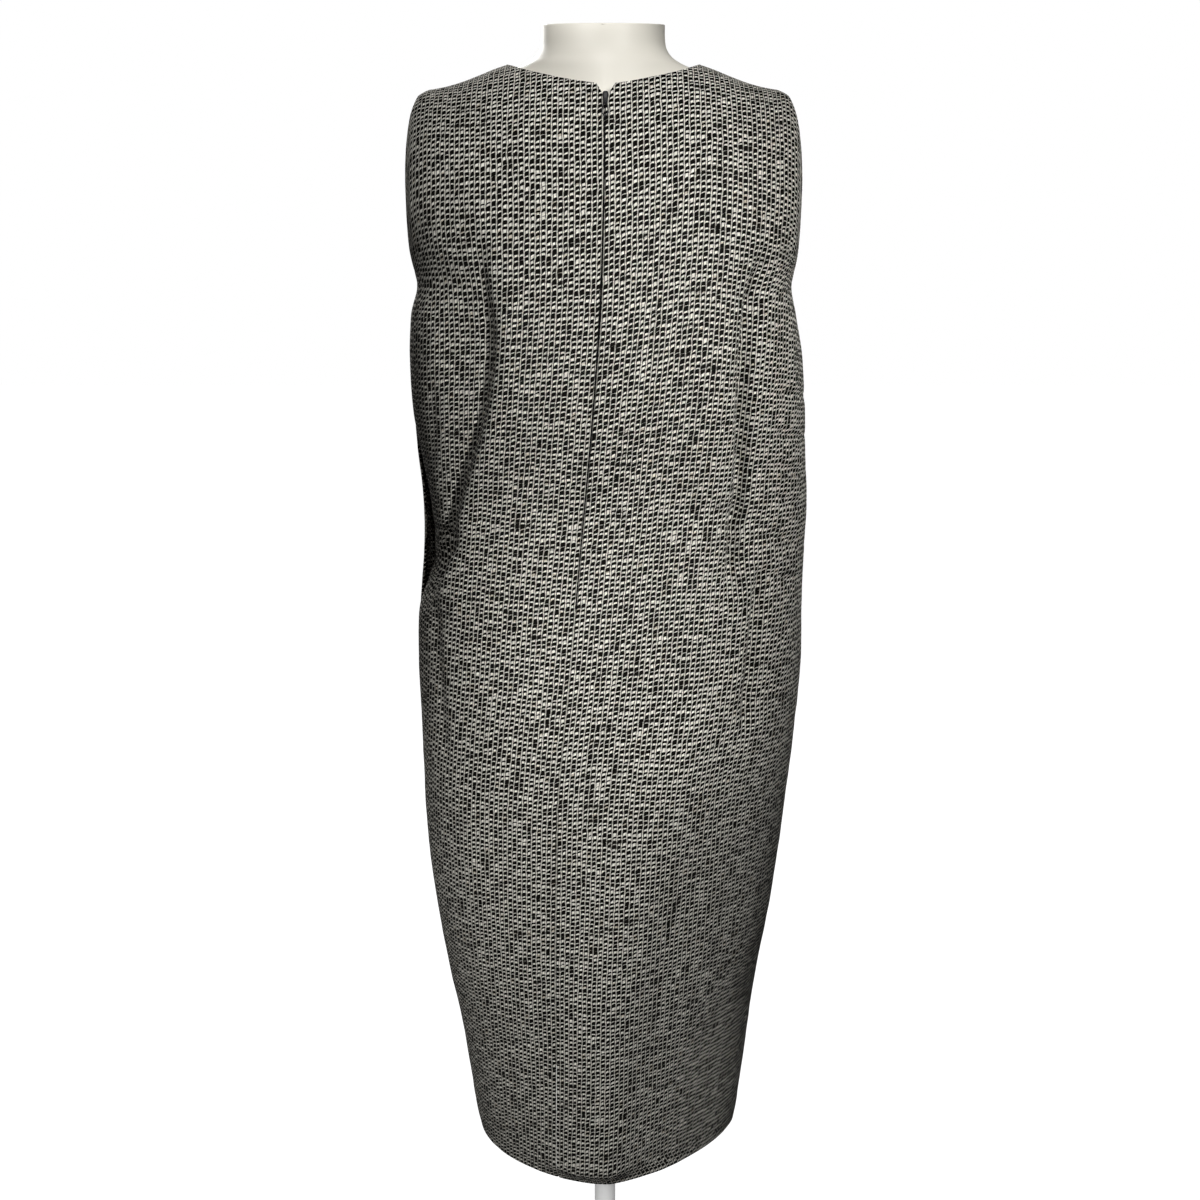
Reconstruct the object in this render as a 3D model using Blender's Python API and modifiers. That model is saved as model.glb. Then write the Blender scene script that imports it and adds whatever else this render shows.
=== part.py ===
"""A sleeveless tweed sheath dress on a limbless dress form with a round stand.

Metres, +Z up.  The dress faces -Y, and its zip runs down the back, at +Y.
The origin is the middle of the underside of the stand's base.
"""
import math
from collections import namedtuple

import bmesh
import bpy
from mathutils import Matrix, Vector

# ------------------------------------------------------------ driving sizes
CLOTH = 0.0018  # tweed with what is turned in behind it, as one wall
SEAM_GAP = 0.0003  # between two pieces that meet
EDGE_DRAWN_BACK = 0.00024  # of a panel from a seam at the centre or the side
RIDGE_DRAWN_BACK = 0.0006  # of a panel from a shoulder seam, front to back
HEM = 0.461  # height of the hem above the floor
UNDERARM = 1.339  # height of the armholes' lowest points
BACK_NECK = 1.4995  # height of the neckline at the centre back
NOTCH_LOW = 1.4870  # the back edges part above this, over the zip's slider
NOTCH_HALF = 0.0075  # how far each has moved aside at the neckline
FRONT_NECK = 1.428  # height of the neckline at the centre front
SHOULDER_REACH = 0.110  # how far below its ridge a shoulder's curve reaches
RIDGE_Y = 0.004  # the shoulder seams lie over this line
ZIP_END = 1.056  # height of the zip's lower end

# The dress seen from above, a row for each level.  The last columns say how
# square the two halves of the back are: 2 is an ellipse, and less is a diamond.
SECTION_COLUMNS = (
    "height",
    "half_width",
    "shift",
    "side",
    "back",
    "front",
    "left_square",
    "right_square",
)
FRONT_SQUARE = 2.25
SECTIONS = (
    (0.461, 0.1362, -0.0022, -0.037, 0.0775, -0.137, 1.78, 1.45),
    (0.477, 0.1391, -0.0018, -0.035, 0.0778, -0.136, 1.80, 1.47),
    (0.540, 0.1460, -0.0005, -0.031, 0.0795, -0.134, 1.85, 1.55),
    (0.602, 0.1525, 0.0005, -0.027, 0.0830, -0.131, 1.92, 1.66),
    (0.661, 0.1599, 0.0014, -0.022, 0.0880, -0.128, 2.00, 1.80),
    (0.720, 0.1675, 0.0014, -0.016, 0.0925, -0.126, 2.10, 1.95),
    (0.777, 0.1730, 0.0012, -0.013, 0.0985, -0.124, 2.20, 2.10),
    (0.832, 0.1768, 0.0000, -0.010, 0.1040, -0.122, 2.28, 2.22),
    (0.887, 0.1794, -0.0020, -0.008, 0.1075, -0.121, 2.35, 2.32),
    (0.939, 0.1817, -0.0038, -0.008, 0.1065, -0.119, 2.40, 2.40),
    (0.990, 0.1834, -0.0050, -0.009, 0.1010, -0.116, 2.40, 2.40),
    (1.040, 0.1826, -0.0052, -0.010, 0.0920, -0.112, 2.35, 2.35),
    (1.089, 0.1806, -0.0078, -0.010, 0.0835, -0.110, 2.30, 2.30),
    (1.136, 0.1803, -0.0088, -0.010, 0.0810, -0.112, 2.30, 2.30),
    (1.183, 0.1806, -0.0055, -0.010, 0.0860, -0.119, 2.30, 2.30),
    (1.230, 0.1804, -0.0028, -0.009, 0.0945, -0.128, 2.35, 2.35),
    (1.275, 0.1781, -0.0008, -0.008, 0.1010, -0.131, 2.40, 2.40),
    (1.312, 0.1728, 0.0015, -0.007, 0.1045, -0.127, 2.45, 2.45),
    (1.339, 0.1672, 0.0010, -0.006, 0.1060, -0.120, 2.50, 2.50),
    (1.370, 0.1760, 0.0010, -0.004, 0.1060, -0.109, 2.50, 2.50),
    (1.400, 0.1810, 0.0010, -0.002, 0.1035, -0.097, 2.50, 2.50),
    (1.450, 0.1840, 0.0010, 0.000, 0.0970, -0.080, 2.50, 2.50),
    (1.530, 0.1840, 0.0010, 0.000, 0.0930, -0.066, 2.50, 2.50),
)

# Where the back's centre seam runs: it drifts to the left going down.
SEAM_COLUMNS = ("height", "across")
CENTRE_SEAM = (
    (0.461, 0.0470),
    (0.700, 0.0465),
    (0.860, 0.0440),
    (0.930, 0.0385),
    (1.000, 0.0310),
    (1.100, 0.0225),
    (1.160, 0.0168),
    (1.250, 0.0088),
    (1.340, 0.0030),
    (1.520, -0.0010),
)

# The top edge over each half, from the neck's middle to the shoulder's tip.
SHOULDER_COLUMNS = ("across", "height")
SHOULDER = (
    (0.0000, 1.5400),
    (0.0600, 1.5290),
    (0.0825, 1.5217),
    (0.0940, 1.5180),
    (0.1050, 1.5138),
    (0.1195, 1.5086),
    (0.1340, 1.5045),
    (0.1535, 1.5004),
    (0.1620, 1.4955),
    (0.1700, 1.4870),
)
NECK_POINT = 0.0825  # where the neckline meets the shoulder seam
SHOULDER_TIP = 0.1595
UPPER_SHIFT = 0.0013  # the shoulders and the neck lie to the left by this
NECK_SHARE = {"back": 0.50, "front": 0.56}  # of a half's columns, those at the neckline
NECK_SQUARE = {"back": 2.0, "front": 2.3}

# Armhole edges, from the underarm to the tip of the shoulder.
ARMHOLE_COLUMNS = ("height", "back_across", "front_across")
ARMHOLE = (
    (1.339, 0.1668, 0.1668),
    (1.352, 0.1678, 0.1615),
    (1.375, 0.1684, 0.1560),
    (1.405, 0.1687, 0.1520),
    (1.440, 0.1689, 0.1525),
    (1.475, 0.1657, 0.1565),
    (1.4965, 0.1595, 0.1595),
)

# The largest folds: each follows a line with a bow in it, inwards or outwards.
Fold = namedtuple("Fold", "side x_top z_top x_low z_low bow width depth")
FOLD_ENDS = 0.7  # how slowly a fold dies away to its ends
FOLD_FACING = 1.3  # a fold moves the cloth more front to back than sideways
FOLDS = (
    Fold("back", 0.108, 1.370, 0.150, 1.062, 0.020, 0.0150, -0.0090),
    Fold("back", 0.150, 1.360, 0.163, 1.110, 0.004, 0.0170, 0.0050),
    Fold("back", 0.136, 1.130, 0.172, 1.078, 0.004, 0.0100, -0.0050),
    Fold("back", -0.136, 1.365, -0.116, 1.060, -0.004, 0.0130, -0.0055),
    Fold("back", -0.134, 1.060, -0.128, 0.900, 0.004, 0.0140, -0.0035),
    Fold("back", -0.060, 1.150, -0.178, 1.105, 0.006, 0.0120, -0.0035),
    Fold("front", 0.118, 1.300, 0.142, 1.060, 0.010, 0.0150, -0.0065),
    Fold("front", -0.122, 1.310, -0.136, 1.080, -0.008, 0.0150, -0.0060),
    Fold("front", -0.060, 1.140, -0.166, 1.085, 0.006, 0.0130, -0.0040),
    Fold("front", 0.050, 0.900, 0.066, 0.560, 0.004, 0.0260, -0.0035),
)

# The form's trunk, from its underside up to the armholes.
Level = namedtuple("Level", "height half_width back front square")
TRUNK = (
    Level(0.765, 0.1430, 0.0760, -0.0900, 2.20),
    Level(0.772, 0.1500, 0.0840, -0.0980, 2.20),
    Level(0.800, 0.1590, 0.0900, -0.1040, 2.25),
    Level(0.860, 0.1680, 0.0965, -0.1090, 2.30),
    Level(0.920, 0.1705, 0.0980, -0.1090, 2.30),
    Level(0.980, 0.1680, 0.0900, -0.1040, 2.30),
    Level(1.040, 0.1570, 0.0750, -0.0950, 2.25),
    Level(1.100, 0.1440, 0.0620, -0.0860, 2.20),
    Level(1.150, 0.1410, 0.0600, -0.0860, 2.20),
    Level(1.200, 0.1470, 0.0700, -0.0990, 2.20),
    Level(1.250, 0.1540, 0.0800, -0.1140, 2.25),
    Level(1.300, 0.1560, 0.0870, -0.1110, 2.30),
    Level(1.345, 0.1520, 0.0900, -0.1020, 2.35),
    Level(1.385, 0.1510, 0.0900, -0.0900, 2.35),
    Level(1.420, 0.1530, 0.0875, -0.0800, 2.35),
)

# The form's shoulders and neck: each ring's ends lie on the shoulder line.
Ring = namedtuple("Ring", "half_width end_height middle_height back front square")
NECK = (
    Ring(0.1550, 1.4450, 1.4420, 0.0850, -0.0730, 2.25),
    Ring(0.1555, 1.4650, 1.4560, 0.0810, -0.0650, 2.10),
    Ring(0.1530, 1.4830, 1.4680, 0.0765, -0.0590, 1.90),
    Ring(0.1470, 1.4935, 1.4765, 0.0720, -0.0530, 1.70),
    Ring(0.1350, 1.5013, 1.4840, 0.0680, -0.0495, 1.55),
    Ring(0.1150, 1.5072, 1.4920, 0.0645, -0.0475, 1.50),
    Ring(0.0960, 1.5142, 1.5005, 0.0610, -0.0460, 1.50),
    Ring(0.0800, 1.5185, 1.5100, 0.0580, -0.0470, 1.65),
    Ring(0.0690, 1.5222, 1.5180, 0.0555, -0.0490, 1.90),
    Ring(0.0600, 1.5275, 1.5255, 0.0530, -0.0485, 2.00),
    Ring(0.0545, 1.5350, 1.5335, 0.0515, -0.0485, 2.05),
    Ring(0.0530, 1.5440, 1.5430, 0.0510, -0.0480, 2.05),
)
NECK_TOP = 1.5550  # height of the middle of the neck's flat top
NECK_TOP_SLOPE = -0.128  # rise of the neck's top along +Y
NECK_TOP_SIZE = (0.0528, 0.0505, -0.0480, 2.05)  # half width, back, front, square

BASE_RADIUS = 0.200
BASE_THICK = 0.008
BASE_EDGE = 0.004  # radius of the base's rounded top edge
COLLAR_RADIUS = 0.024
COLLAR_HEIGHT = 0.030
COLLAR_EDGE = 0.003
POLE_RADIUS = 0.0110
SOCKET_RADIUS = 0.0200
SOCKET_HEIGHT = 0.045
ROUND_STEPS = 32

# The zip's slider and tab, at the top of the centre seam.
SLIDER_TOP = 1.4915
SLIDER_SIZE = Vector((0.0046, 0.0026, 0.0110))
SLIDER_TAPER = 0.72  # width of its lower end as a share of its upper end's
SLIDER_EDGE = 0.0008
SLIDER_OUT = 0.0006  # its underside's distance out from the cloth
TAB_PIVOT = 1.4818
TAB_LENGTH = 0.0120
TAB_WIDTH = 0.0052
TAB_THICK = 0.0010
TAB_OUT = 0.0041  # the pivot's distance out from the cloth
TAB_LEAN = math.radians(13)  # how far the tab leans in to lie against the cloth
# The tab's outline, half a width across and a length down from the pivot.
TAB_OUTLINE = ((0.0, -0.06), (0.55, 0.10), (1.0, 0.68), (0.0, 1.0), (-1.0, 0.68), (-0.55, 0.10))
TAPE_WIDTH = 0.0220
TAPE_THICK = 0.0007
TAPE_BEHIND = 0.00066  # the tape's distance behind the cloth's inside
TAPE_ROWS = 20
SLOPE_STEP = 0.004  # up and down the seam, to find which way it faces

# How finely the cloth is divided.
BACK_COLUMNS = 15
FRONT_COLUMNS = 26
LOW_ROWS = 25
HIGH_ROWS = 11
FORM_COLUMNS = 32
SEAM_STRIP = 0.008  # share of a panel's width in the narrow faces along a seam
UPPER_ROWS_POWER = 1.8  # above the underarm the rows lie closer towards the top edge
NECK_COLUMNS_POWER = 1.5  # and the columns closer towards the neck's middle

COLOURS = {
    "tweed": ((0.150, 0.145, 0.132), 0.95, 0.0),
    "form": ((0.835, 0.800, 0.690), 0.55, 0.0),
    "zip": ((0.012, 0.012, 0.013), 0.35, 0.6),
    "tape": ((0.020, 0.020, 0.022), 0.85, 0.0),
    "stand": ((0.860, 0.860, 0.850), 0.35, 0.0),
}


# ------------------------------------------------------------ tables
def read_table(rows, columns, column, at):
    """A column's smooth value where the first column has the value at."""
    place = columns.index(column)
    last = len(rows) - 1
    at = min(max(at, rows[0][0]), rows[last][0])
    index = 0
    while index < last - 1 and at > rows[index + 1][0]:
        index += 1

    def slope(row):
        low = max(row - 1, 0)
        high = min(row + 1, last)
        return (rows[high][place] - rows[low][place]) / (rows[high][0] - rows[low][0])

    start, end = rows[index], rows[index + 1]
    span = end[0] - start[0]
    part = (at - start[0]) / span
    fall = 2 * part**3 - 3 * part**2 + 1
    start_pull = (part**3 - 2 * part**2 + part) * span * slope(index)
    end_pull = (part**3 - part**2) * span * slope(index + 1)
    return fall * start[place] + (1 - fall) * end[place] + start_pull + end_pull


def section(column, height):
    return read_table(SECTIONS, SECTION_COLUMNS, column, height)


def squareness(side, across, height):
    if side == "front":
        return FRONT_SQUARE
    return section("left_square" if across > section("shift", height) else "right_square", height)


def centre_seam(height):
    return read_table(CENTRE_SEAM, SEAM_COLUMNS, "across", height)


def ridge(across):
    return read_table(SHOULDER, SHOULDER_COLUMNS, "height", abs(across - UPPER_SHIFT))


# ------------------------------------------------------------ the cloth's form
def fold_depth(side, across, height):
    """How far the folds move the cloth outwards at a place."""
    moved = 0.0
    for fold in FOLDS:
        if fold.side != side:
            continue
        run = Vector((fold.x_low - fold.x_top, fold.z_low - fold.z_top))
        length = run.length
        run /= length
        from_top = Vector((across - fold.x_top, height - fold.z_top))
        along = from_top.dot(run) / length
        if not 0.0 < along < 1.0:
            continue
        bow = 4 * fold.bow * along * (1 - along)
        aside = from_top.dot(Vector((run.y, -run.x))) - bow
        ends = math.sin(math.pi * along) ** FOLD_ENDS
        moved += fold.depth * ends * math.exp(-((aside / fold.width) ** 2))
    return moved


def cloth_point(side, across, height):
    """A point of the dress's outside, seen at a place from the back or the front."""
    half = section("half_width", height)
    middle = section("side", height)
    reach = section(side, height) - middle
    square = squareness(side, across, height)
    part = min(abs(across - section("shift", height)) / half, 1.0)
    depth = reach * (1 - part**square) ** (1 / square)
    drop = (ridge(across) - height) / SHOULDER_REACH
    if drop < 1.0:
        curve = math.sqrt(max(1 - (1 - max(drop, 0.0)) ** 2, 0.0))
        depth = (RIDGE_Y - middle) + (depth - (RIDGE_Y - middle)) * curve
    outward = Vector((part * math.copysign(1, across), depth / abs(reach) * FOLD_FACING))
    outward.normalize()
    moved = outward * fold_depth(side, across, height)
    return Vector((across + moved.x, middle + depth + moved.y, height))


def side_share(side, across, height):
    """An angle for a place across the section: -1 at the right seam, 1 at the left."""
    offset = (across - section("shift", height)) / section("half_width", height)
    offset = max(-1.0, min(1.0, offset))
    angle = math.asin(abs(offset) ** (squareness(side, across, height) / 2))
    return math.copysign(angle / (math.pi / 2), offset)


def across_at(side, share, height):
    """The place across the section at that angle: the reverse of side_share."""
    square = squareness(side, section("shift", height) + share, height)
    reach = math.sin(abs(share) * math.pi / 2) ** (2 / square)
    return section("shift", height) + section("half_width", height) * math.copysign(reach, share)


def armhole(side, sign, part):
    """A place on an armhole's edge, from the underarm (0) to the shoulder's tip (1)."""
    height = ARMHOLE[0][0] + (ARMHOLE[-1][0] - ARMHOLE[0][0]) * part
    across = read_table(ARMHOLE, ARMHOLE_COLUMNS, side + "_across", height)
    return UPPER_SHIFT + sign * across, height


def notch(height):
    """How far a back edge has moved aside above the zip's slider."""
    return NOTCH_HALF * max(0.0, height - NOTCH_LOW) / (BACK_NECK - NOTCH_LOW)


def top_place(side, sign, share):
    """A place on the top edge, from the centre (0) to the shoulder's tip (1)."""
    neck = NECK_SHARE[side]
    if share >= neck:
        reach = (share - neck) / (1 - neck)
        across = UPPER_SHIFT + sign * (NECK_POINT + (SHOULDER_TIP - NECK_POINT) * reach)
        return across, ridge(across)
    angle = math.pi / 2 * (1 - (1 - share / neck) ** NECK_COLUMNS_POWER)
    power = 2 / NECK_SQUARE[side]
    start = sign * NOTCH_HALF + centre_seam(BACK_NECK) if side == "back" else 0.0
    end = UPPER_SHIFT + sign * NECK_POINT
    low = BACK_NECK if side == "back" else FRONT_NECK
    high = ridge(end)
    across = start + (end - start) * math.sin(angle) ** power
    return across, high - (high - low) * math.cos(angle) ** power


def panel_point(side, start, end, part, level):
    """A point of a panel: part 0 to 1 from its start edge to its end edge.

    An edge is "left", "right" or "centre".  Level 0 to 1 goes from the hem
    to the underarm, and 1 to 2 from the underarm to the top edge.
    """
    signs = {"left": 1, "right": -1}
    own_sign = signs.get(start) or signs.get(end)
    height = HEM + (UNDERARM - HEM) * min(level, 1.0)

    def edge_share(edge):
        if edge == "centre":
            return side_share(side, centre_seam(height), height)
        return signs[edge]

    share = edge_share(start) + (edge_share(end) - edge_share(start)) * part
    low_across = across_at(side, share, height)
    if level <= 1.0:
        return cloth_point(side, low_across, height)

    def edge_place(edge, rise):
        if edge == "centre":
            place = UNDERARM + (BACK_NECK - UNDERARM) * rise
            return centre_seam(place) + own_sign * notch(place), place
        return armhole(side, signs[edge], rise)

    if "centre" in (start, end):
        top = top_place(side, own_sign, part if start == "centre" else 1 - part)
    else:
        top = top_place(side, signs[start] if part < 0.5 else signs[end], abs(2 * part - 1))
    rise = 1 - (2 - level) ** UPPER_ROWS_POWER
    low = (low_across, UNDERARM)
    place = []
    for axis in (0, 1):
        value = low[axis] * (1 - rise) + top[axis] * rise
        for edge, weight in ((start, 1 - part), (end, part)):
            straight = edge_place(edge, 0.0)[axis] * (1 - rise) + edge_place(edge, 1.0)[axis] * rise
            value += weight * (edge_place(edge, rise)[axis] - straight)
        place.append(value)
    return cloth_point(side, *place)


# ------------------------------------------------------------ making objects
def material(name):
    colour, roughness, metallic = COLOURS[name]
    made = bpy.data.materials.new(name)
    made.use_nodes = True
    shader = made.node_tree.nodes["Principled BSDF"]
    shader.inputs["Base Color"].default_value = (*colour, 1.0)
    shader.inputs["Roughness"].default_value = roughness
    shader.inputs["Metallic"].default_value = metallic
    made.diffuse_color = (*colour, 1.0)
    return made


def add_object(name, mesh, slot):
    piece = bpy.data.objects.new(name, mesh)
    PARTS.objects.link(piece)
    mesh.materials.append(MATERIALS[slot])
    return piece


def smooth(mesh, degrees=40):
    mesh.shade_smooth()
    mesh.set_sharp_from_angle(angle=math.radians(degrees))


def grid_mesh(name, rows):
    """A sheet of four-sided faces through rows of points."""
    sheet = bmesh.new()
    lines = [[sheet.verts.new(point) for point in row] for row in rows]
    for low, high in zip(lines, lines[1:]):
        for left in range(len(low) - 1):
            sheet.faces.new((low[left], low[left + 1], high[left + 1], high[left]))
    mesh = bpy.data.meshes.new(name)
    sheet.to_mesh(mesh)
    sheet.free()
    return mesh


def add_thickness(piece, thickness):
    wall = piece.modifiers.new("Wall", "SOLIDIFY")
    wall.thickness = thickness
    wall.offset = -1.0
    wall.use_even_offset = True
    wall.use_rim = True


def turned(name, profile, slot):
    """A round piece from its outline, (radius, height) from top to bottom."""
    outline = bmesh.new()
    points = [outline.verts.new((radius, 0.0, height)) for radius, height in profile]
    for upper, lower in zip(points, points[1:]):
        outline.edges.new((upper, lower))
    mesh = bpy.data.meshes.new(name)
    outline.to_mesh(mesh)
    outline.free()
    piece = add_object(name, mesh, slot)
    screw = piece.modifiers.new("Turn", "SCREW")
    screw.axis = "Z"
    screw.steps = ROUND_STEPS
    screw.render_steps = ROUND_STEPS
    screw.use_merge_vertices = True
    screw.merge_threshold = 0.00001
    screw.use_smooth_shade = False
    return piece


# ------------------------------------------------------------ the dress
def add_panel(name, side, start, end, columns):
    """A panel of the dress, whose points run so that its faces look outwards."""
    parts = [column / columns for column in range(columns + 1)]
    parts = [0.0, SEAM_STRIP, *parts[1:-1], 1 - SEAM_STRIP, 1.0]
    levels = [row / LOW_ROWS for row in range(LOW_ROWS + 1)]
    levels += [1 + row / HIGH_ROWS for row in range(1, HIGH_ROWS + 1)]
    rows = []
    for level in levels:
        rows.append([panel_point(side, start, end, part, level) for part in parts])
    draw_back_from_seams(side, start, end, rows)
    mesh = grid_mesh(name, rows)
    smooth(mesh)
    add_thickness(add_object(name, mesh, "tweed"), CLOTH)


def draw_back_from_seams(side, start, end, rows):
    """Leaves the seams' gap at the centre back, the sides and the shoulders."""
    inwards = 1 if side == "back" else -1
    for edge, column, toward in ((start, 0, 1), (end, -1, -2)):
        for row in rows[: LOW_ROWS + 1] if edge != "centre" else rows:
            row[column] += (row[toward] - row[column]).normalized() * EDGE_DRAWN_BACK
    for point in rows[-1]:
        if abs(point.x - UPPER_SHIFT) > NECK_POINT - SEAM_GAP:
            point.y += inwards * RIDGE_DRAWN_BACK


def add_dress():
    add_panel("dress_back_left", "back", "left", "centre", BACK_COLUMNS)
    add_panel("dress_back_right", "back", "centre", "right", BACK_COLUMNS)
    add_panel("dress_front", "front", "right", "left", FRONT_COLUMNS)


# ------------------------------------------------------------ the zip
def seam_point(height, outwards):
    """A point over the centre seam, moved out from the cloth's outside."""
    place = cloth_point("back", centre_seam(height), height)
    above = cloth_point("back", centre_seam(height + SLOPE_STEP), height + SLOPE_STEP)
    below = cloth_point("back", centre_seam(height - SLOPE_STEP), height - SLOPE_STEP)
    normal = (above - below).cross(Vector((1, 0, 0))).normalized()
    return place + normal * outwards


def add_tape():
    """The zip's two closed tapes, as one strip behind the centre seam."""
    rows = []
    for row in range(TAPE_ROWS + 1):
        height = ZIP_END + (SLIDER_TOP - ZIP_END) * row / TAPE_ROWS
        middle = seam_point(height, -CLOTH - TAPE_BEHIND)
        depth = cloth_point("back", centre_seam(height), height).y
        line = []
        for aside in (TAPE_WIDTH / 2, 0.0, -TAPE_WIDTH / 2):
            bend = cloth_point("back", centre_seam(height) + aside, height).y - depth
            line.append(middle + Vector((aside, bend, 0.0)))
        rows.append(line)
    piece = add_object("zip_tape", grid_mesh("zip_tape", rows), "tape")
    add_thickness(piece, TAPE_THICK)


def add_slider():
    """The slider's outer bridge, on the seam's line."""
    sheet = bmesh.new()
    bmesh.ops.create_cube(sheet, size=1.0)
    for vertex in sheet.verts:
        narrow = SLIDER_TAPER if vertex.co.z < 0 else 1.0
        vertex.co.x *= SLIDER_SIZE.x * narrow
        vertex.co.y *= SLIDER_SIZE.y
        vertex.co.z *= SLIDER_SIZE.z
    mesh = bpy.data.meshes.new("zip_slider")
    sheet.to_mesh(mesh)
    sheet.free()
    piece = add_object("zip_slider", mesh, "zip")
    place_on_seam(piece, SLIDER_TOP - SLIDER_SIZE.z / 2, SLIDER_SIZE.y / 2 + SLIDER_OUT)
    bevel = piece.modifiers.new("Edge", "BEVEL")
    bevel.width = SLIDER_EDGE
    bevel.segments = 2


def place_on_seam(piece, height, outwards):
    """Stands a piece on the seam, its own +Y away from the cloth."""
    piece.location = seam_point(height, outwards)
    rise = seam_point(height + SLOPE_STEP, 0.0) - seam_point(height - SLOPE_STEP, 0.0)
    piece.rotation_euler = (math.atan2(-rise.y, rise.z), 0.0, 0.0)


def add_tab():
    """The pull tab: a drop-shaped plate whose origin is on its pivot's line."""
    outline = bpy.data.curves.new("zip_tab", "CURVE")
    outline.dimensions = "2D"
    outline.fill_mode = "BOTH"
    outline.extrude = TAB_THICK / 2
    outline.resolution_u = 3
    spline = outline.splines.new("BEZIER")
    spline.bezier_points.add(len(TAB_OUTLINE) - 1)
    for point, (across, along) in zip(spline.bezier_points, TAB_OUTLINE):
        point.co = (across * TAB_WIDTH / 2, -along * TAB_LENGTH, 0.0)
        point.handle_left_type = "AUTO"
        point.handle_right_type = "AUTO"
    spline.use_cyclic_u = True
    drawn = bpy.data.objects.new("tab_outline", outline)
    PARTS.objects.link(drawn)
    seen = drawn.evaluated_get(bpy.context.evaluated_depsgraph_get())
    mesh = bpy.data.meshes.new_from_object(seen)
    bpy.data.objects.remove(drawn)
    welded = bmesh.new()
    welded.from_mesh(mesh)
    bmesh.ops.remove_doubles(welded, verts=welded.verts, dist=0.00001)
    bmesh.ops.rotate(welded, verts=welded.verts, matrix=Matrix.Rotation(math.pi / 2, 3, "X"))
    welded.to_mesh(mesh)
    welded.free()
    piece = add_object("zip_pull", mesh, "zip")
    place_on_seam(piece, TAB_PIVOT, TAB_OUT)
    piece.rotation_euler.x -= TAB_LEAN


# ------------------------------------------------------------ form and stand
def form_ring(half_width, back, front, square):
    """One ring of the form, as yet at height 0."""
    points = []
    for step in range(FORM_COLUMNS):
        angle = 2 * math.pi * step / FORM_COLUMNS
        cosine, sine = math.cos(angle), math.sin(angle)
        across = half_width * math.copysign(abs(cosine) ** (2 / square), cosine)
        depth = (back if sine > 0 else -front) * math.copysign(abs(sine) ** (2 / square), sine)
        points.append(Vector((across, depth, 0.0)))
    return points


def add_form():
    """The limbless trunk with its neck, one closed loft."""
    rings = []
    for level in TRUNK:
        points = form_ring(level.half_width, level.back, level.front, level.square)
        for point in points:
            point.z = level.height
        rings.append(points)
    for ring in NECK:
        points = form_ring(ring.half_width, ring.back, ring.front, ring.square)
        for point in points:
            rise = (point.x / ring.half_width) ** 2
            point.z = ring.middle_height + (ring.end_height - ring.middle_height) * rise
            point.x += UPPER_SHIFT
        rings.append(points)
    points = form_ring(*NECK_TOP_SIZE)
    for point in points:
        point.z = NECK_TOP + NECK_TOP_SLOPE * point.y
        point.x += UPPER_SHIFT
    rings.append(points)
    sheet = bmesh.new()
    lines = [[sheet.verts.new(point) for point in ring] for ring in rings]
    for low, high in zip(lines, lines[1:]):
        for step in range(FORM_COLUMNS):
            after = (step + 1) % FORM_COLUMNS
            sheet.faces.new((low[step], low[after], high[after], high[step]))
    sheet.faces.new(list(reversed(lines[0])))
    sheet.faces.new(lines[-1])
    mesh = bpy.data.meshes.new("form_trunk")
    sheet.to_mesh(mesh)
    sheet.free()
    smooth(mesh, 50)
    add_object("form_trunk", mesh, "form")


def add_stand():
    """A round base, a collar, the pole and the socket under the trunk."""
    slant = BASE_EDGE * (1 - math.cos(math.pi / 4))
    base = (
        (0.0, BASE_THICK),
        (BASE_RADIUS - BASE_EDGE, BASE_THICK),
        (BASE_RADIUS - slant, BASE_THICK - slant),
        (BASE_RADIUS, BASE_THICK - BASE_EDGE),
        (BASE_RADIUS, 0.0),
        (0.0, 0.0),
    )
    turned("stand_base", base, "stand")
    collar_low = BASE_THICK + SEAM_GAP
    collar_top = collar_low + COLLAR_HEIGHT
    turned("stand_collar", rod(COLLAR_RADIUS, collar_low, collar_top, COLLAR_EDGE), "stand")
    socket_top = TRUNK[0].height - SEAM_GAP
    socket_low = socket_top - SOCKET_HEIGHT
    turned("stand_socket", rod(SOCKET_RADIUS, socket_low, socket_top), "stand")
    pole = rod(POLE_RADIUS, collar_top + SEAM_GAP, socket_low - SEAM_GAP)
    turned("stand_pole", pole, "stand")


def rod(radius, low, top, edge=0.0):
    """The outline of a rod, with its top edge cut at a slant where it has one."""
    shoulder = [(radius - edge, top), (radius, top - edge)] if edge else [(radius, top)]
    return [(0.0, top), *shoulder, (radius, low), (0.0, low)]


# ------------------------------------------------------------ all of it
for old in list(bpy.data.objects):
    bpy.data.objects.remove(old, do_unlink=True)
PARTS = bpy.data.collections.new("sheath_dress_on_form")
bpy.context.scene.collection.children.link(PARTS)
MATERIALS = {name: material(name) for name in COLOURS}

add_dress()
add_tape()
add_slider()
add_tab()
add_form()
add_stand()
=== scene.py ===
"""The looks of a sleeveless tweed sheath dress on a limbless dress form.

The cloth is a fine shell on the same form as the solids, with its creases,
seams and weave; the form, the zip and the stand are finished in their places.
The dress faces -Y and its zip is at +Y.  Metres.
"""
import math
from collections import namedtuple

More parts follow.
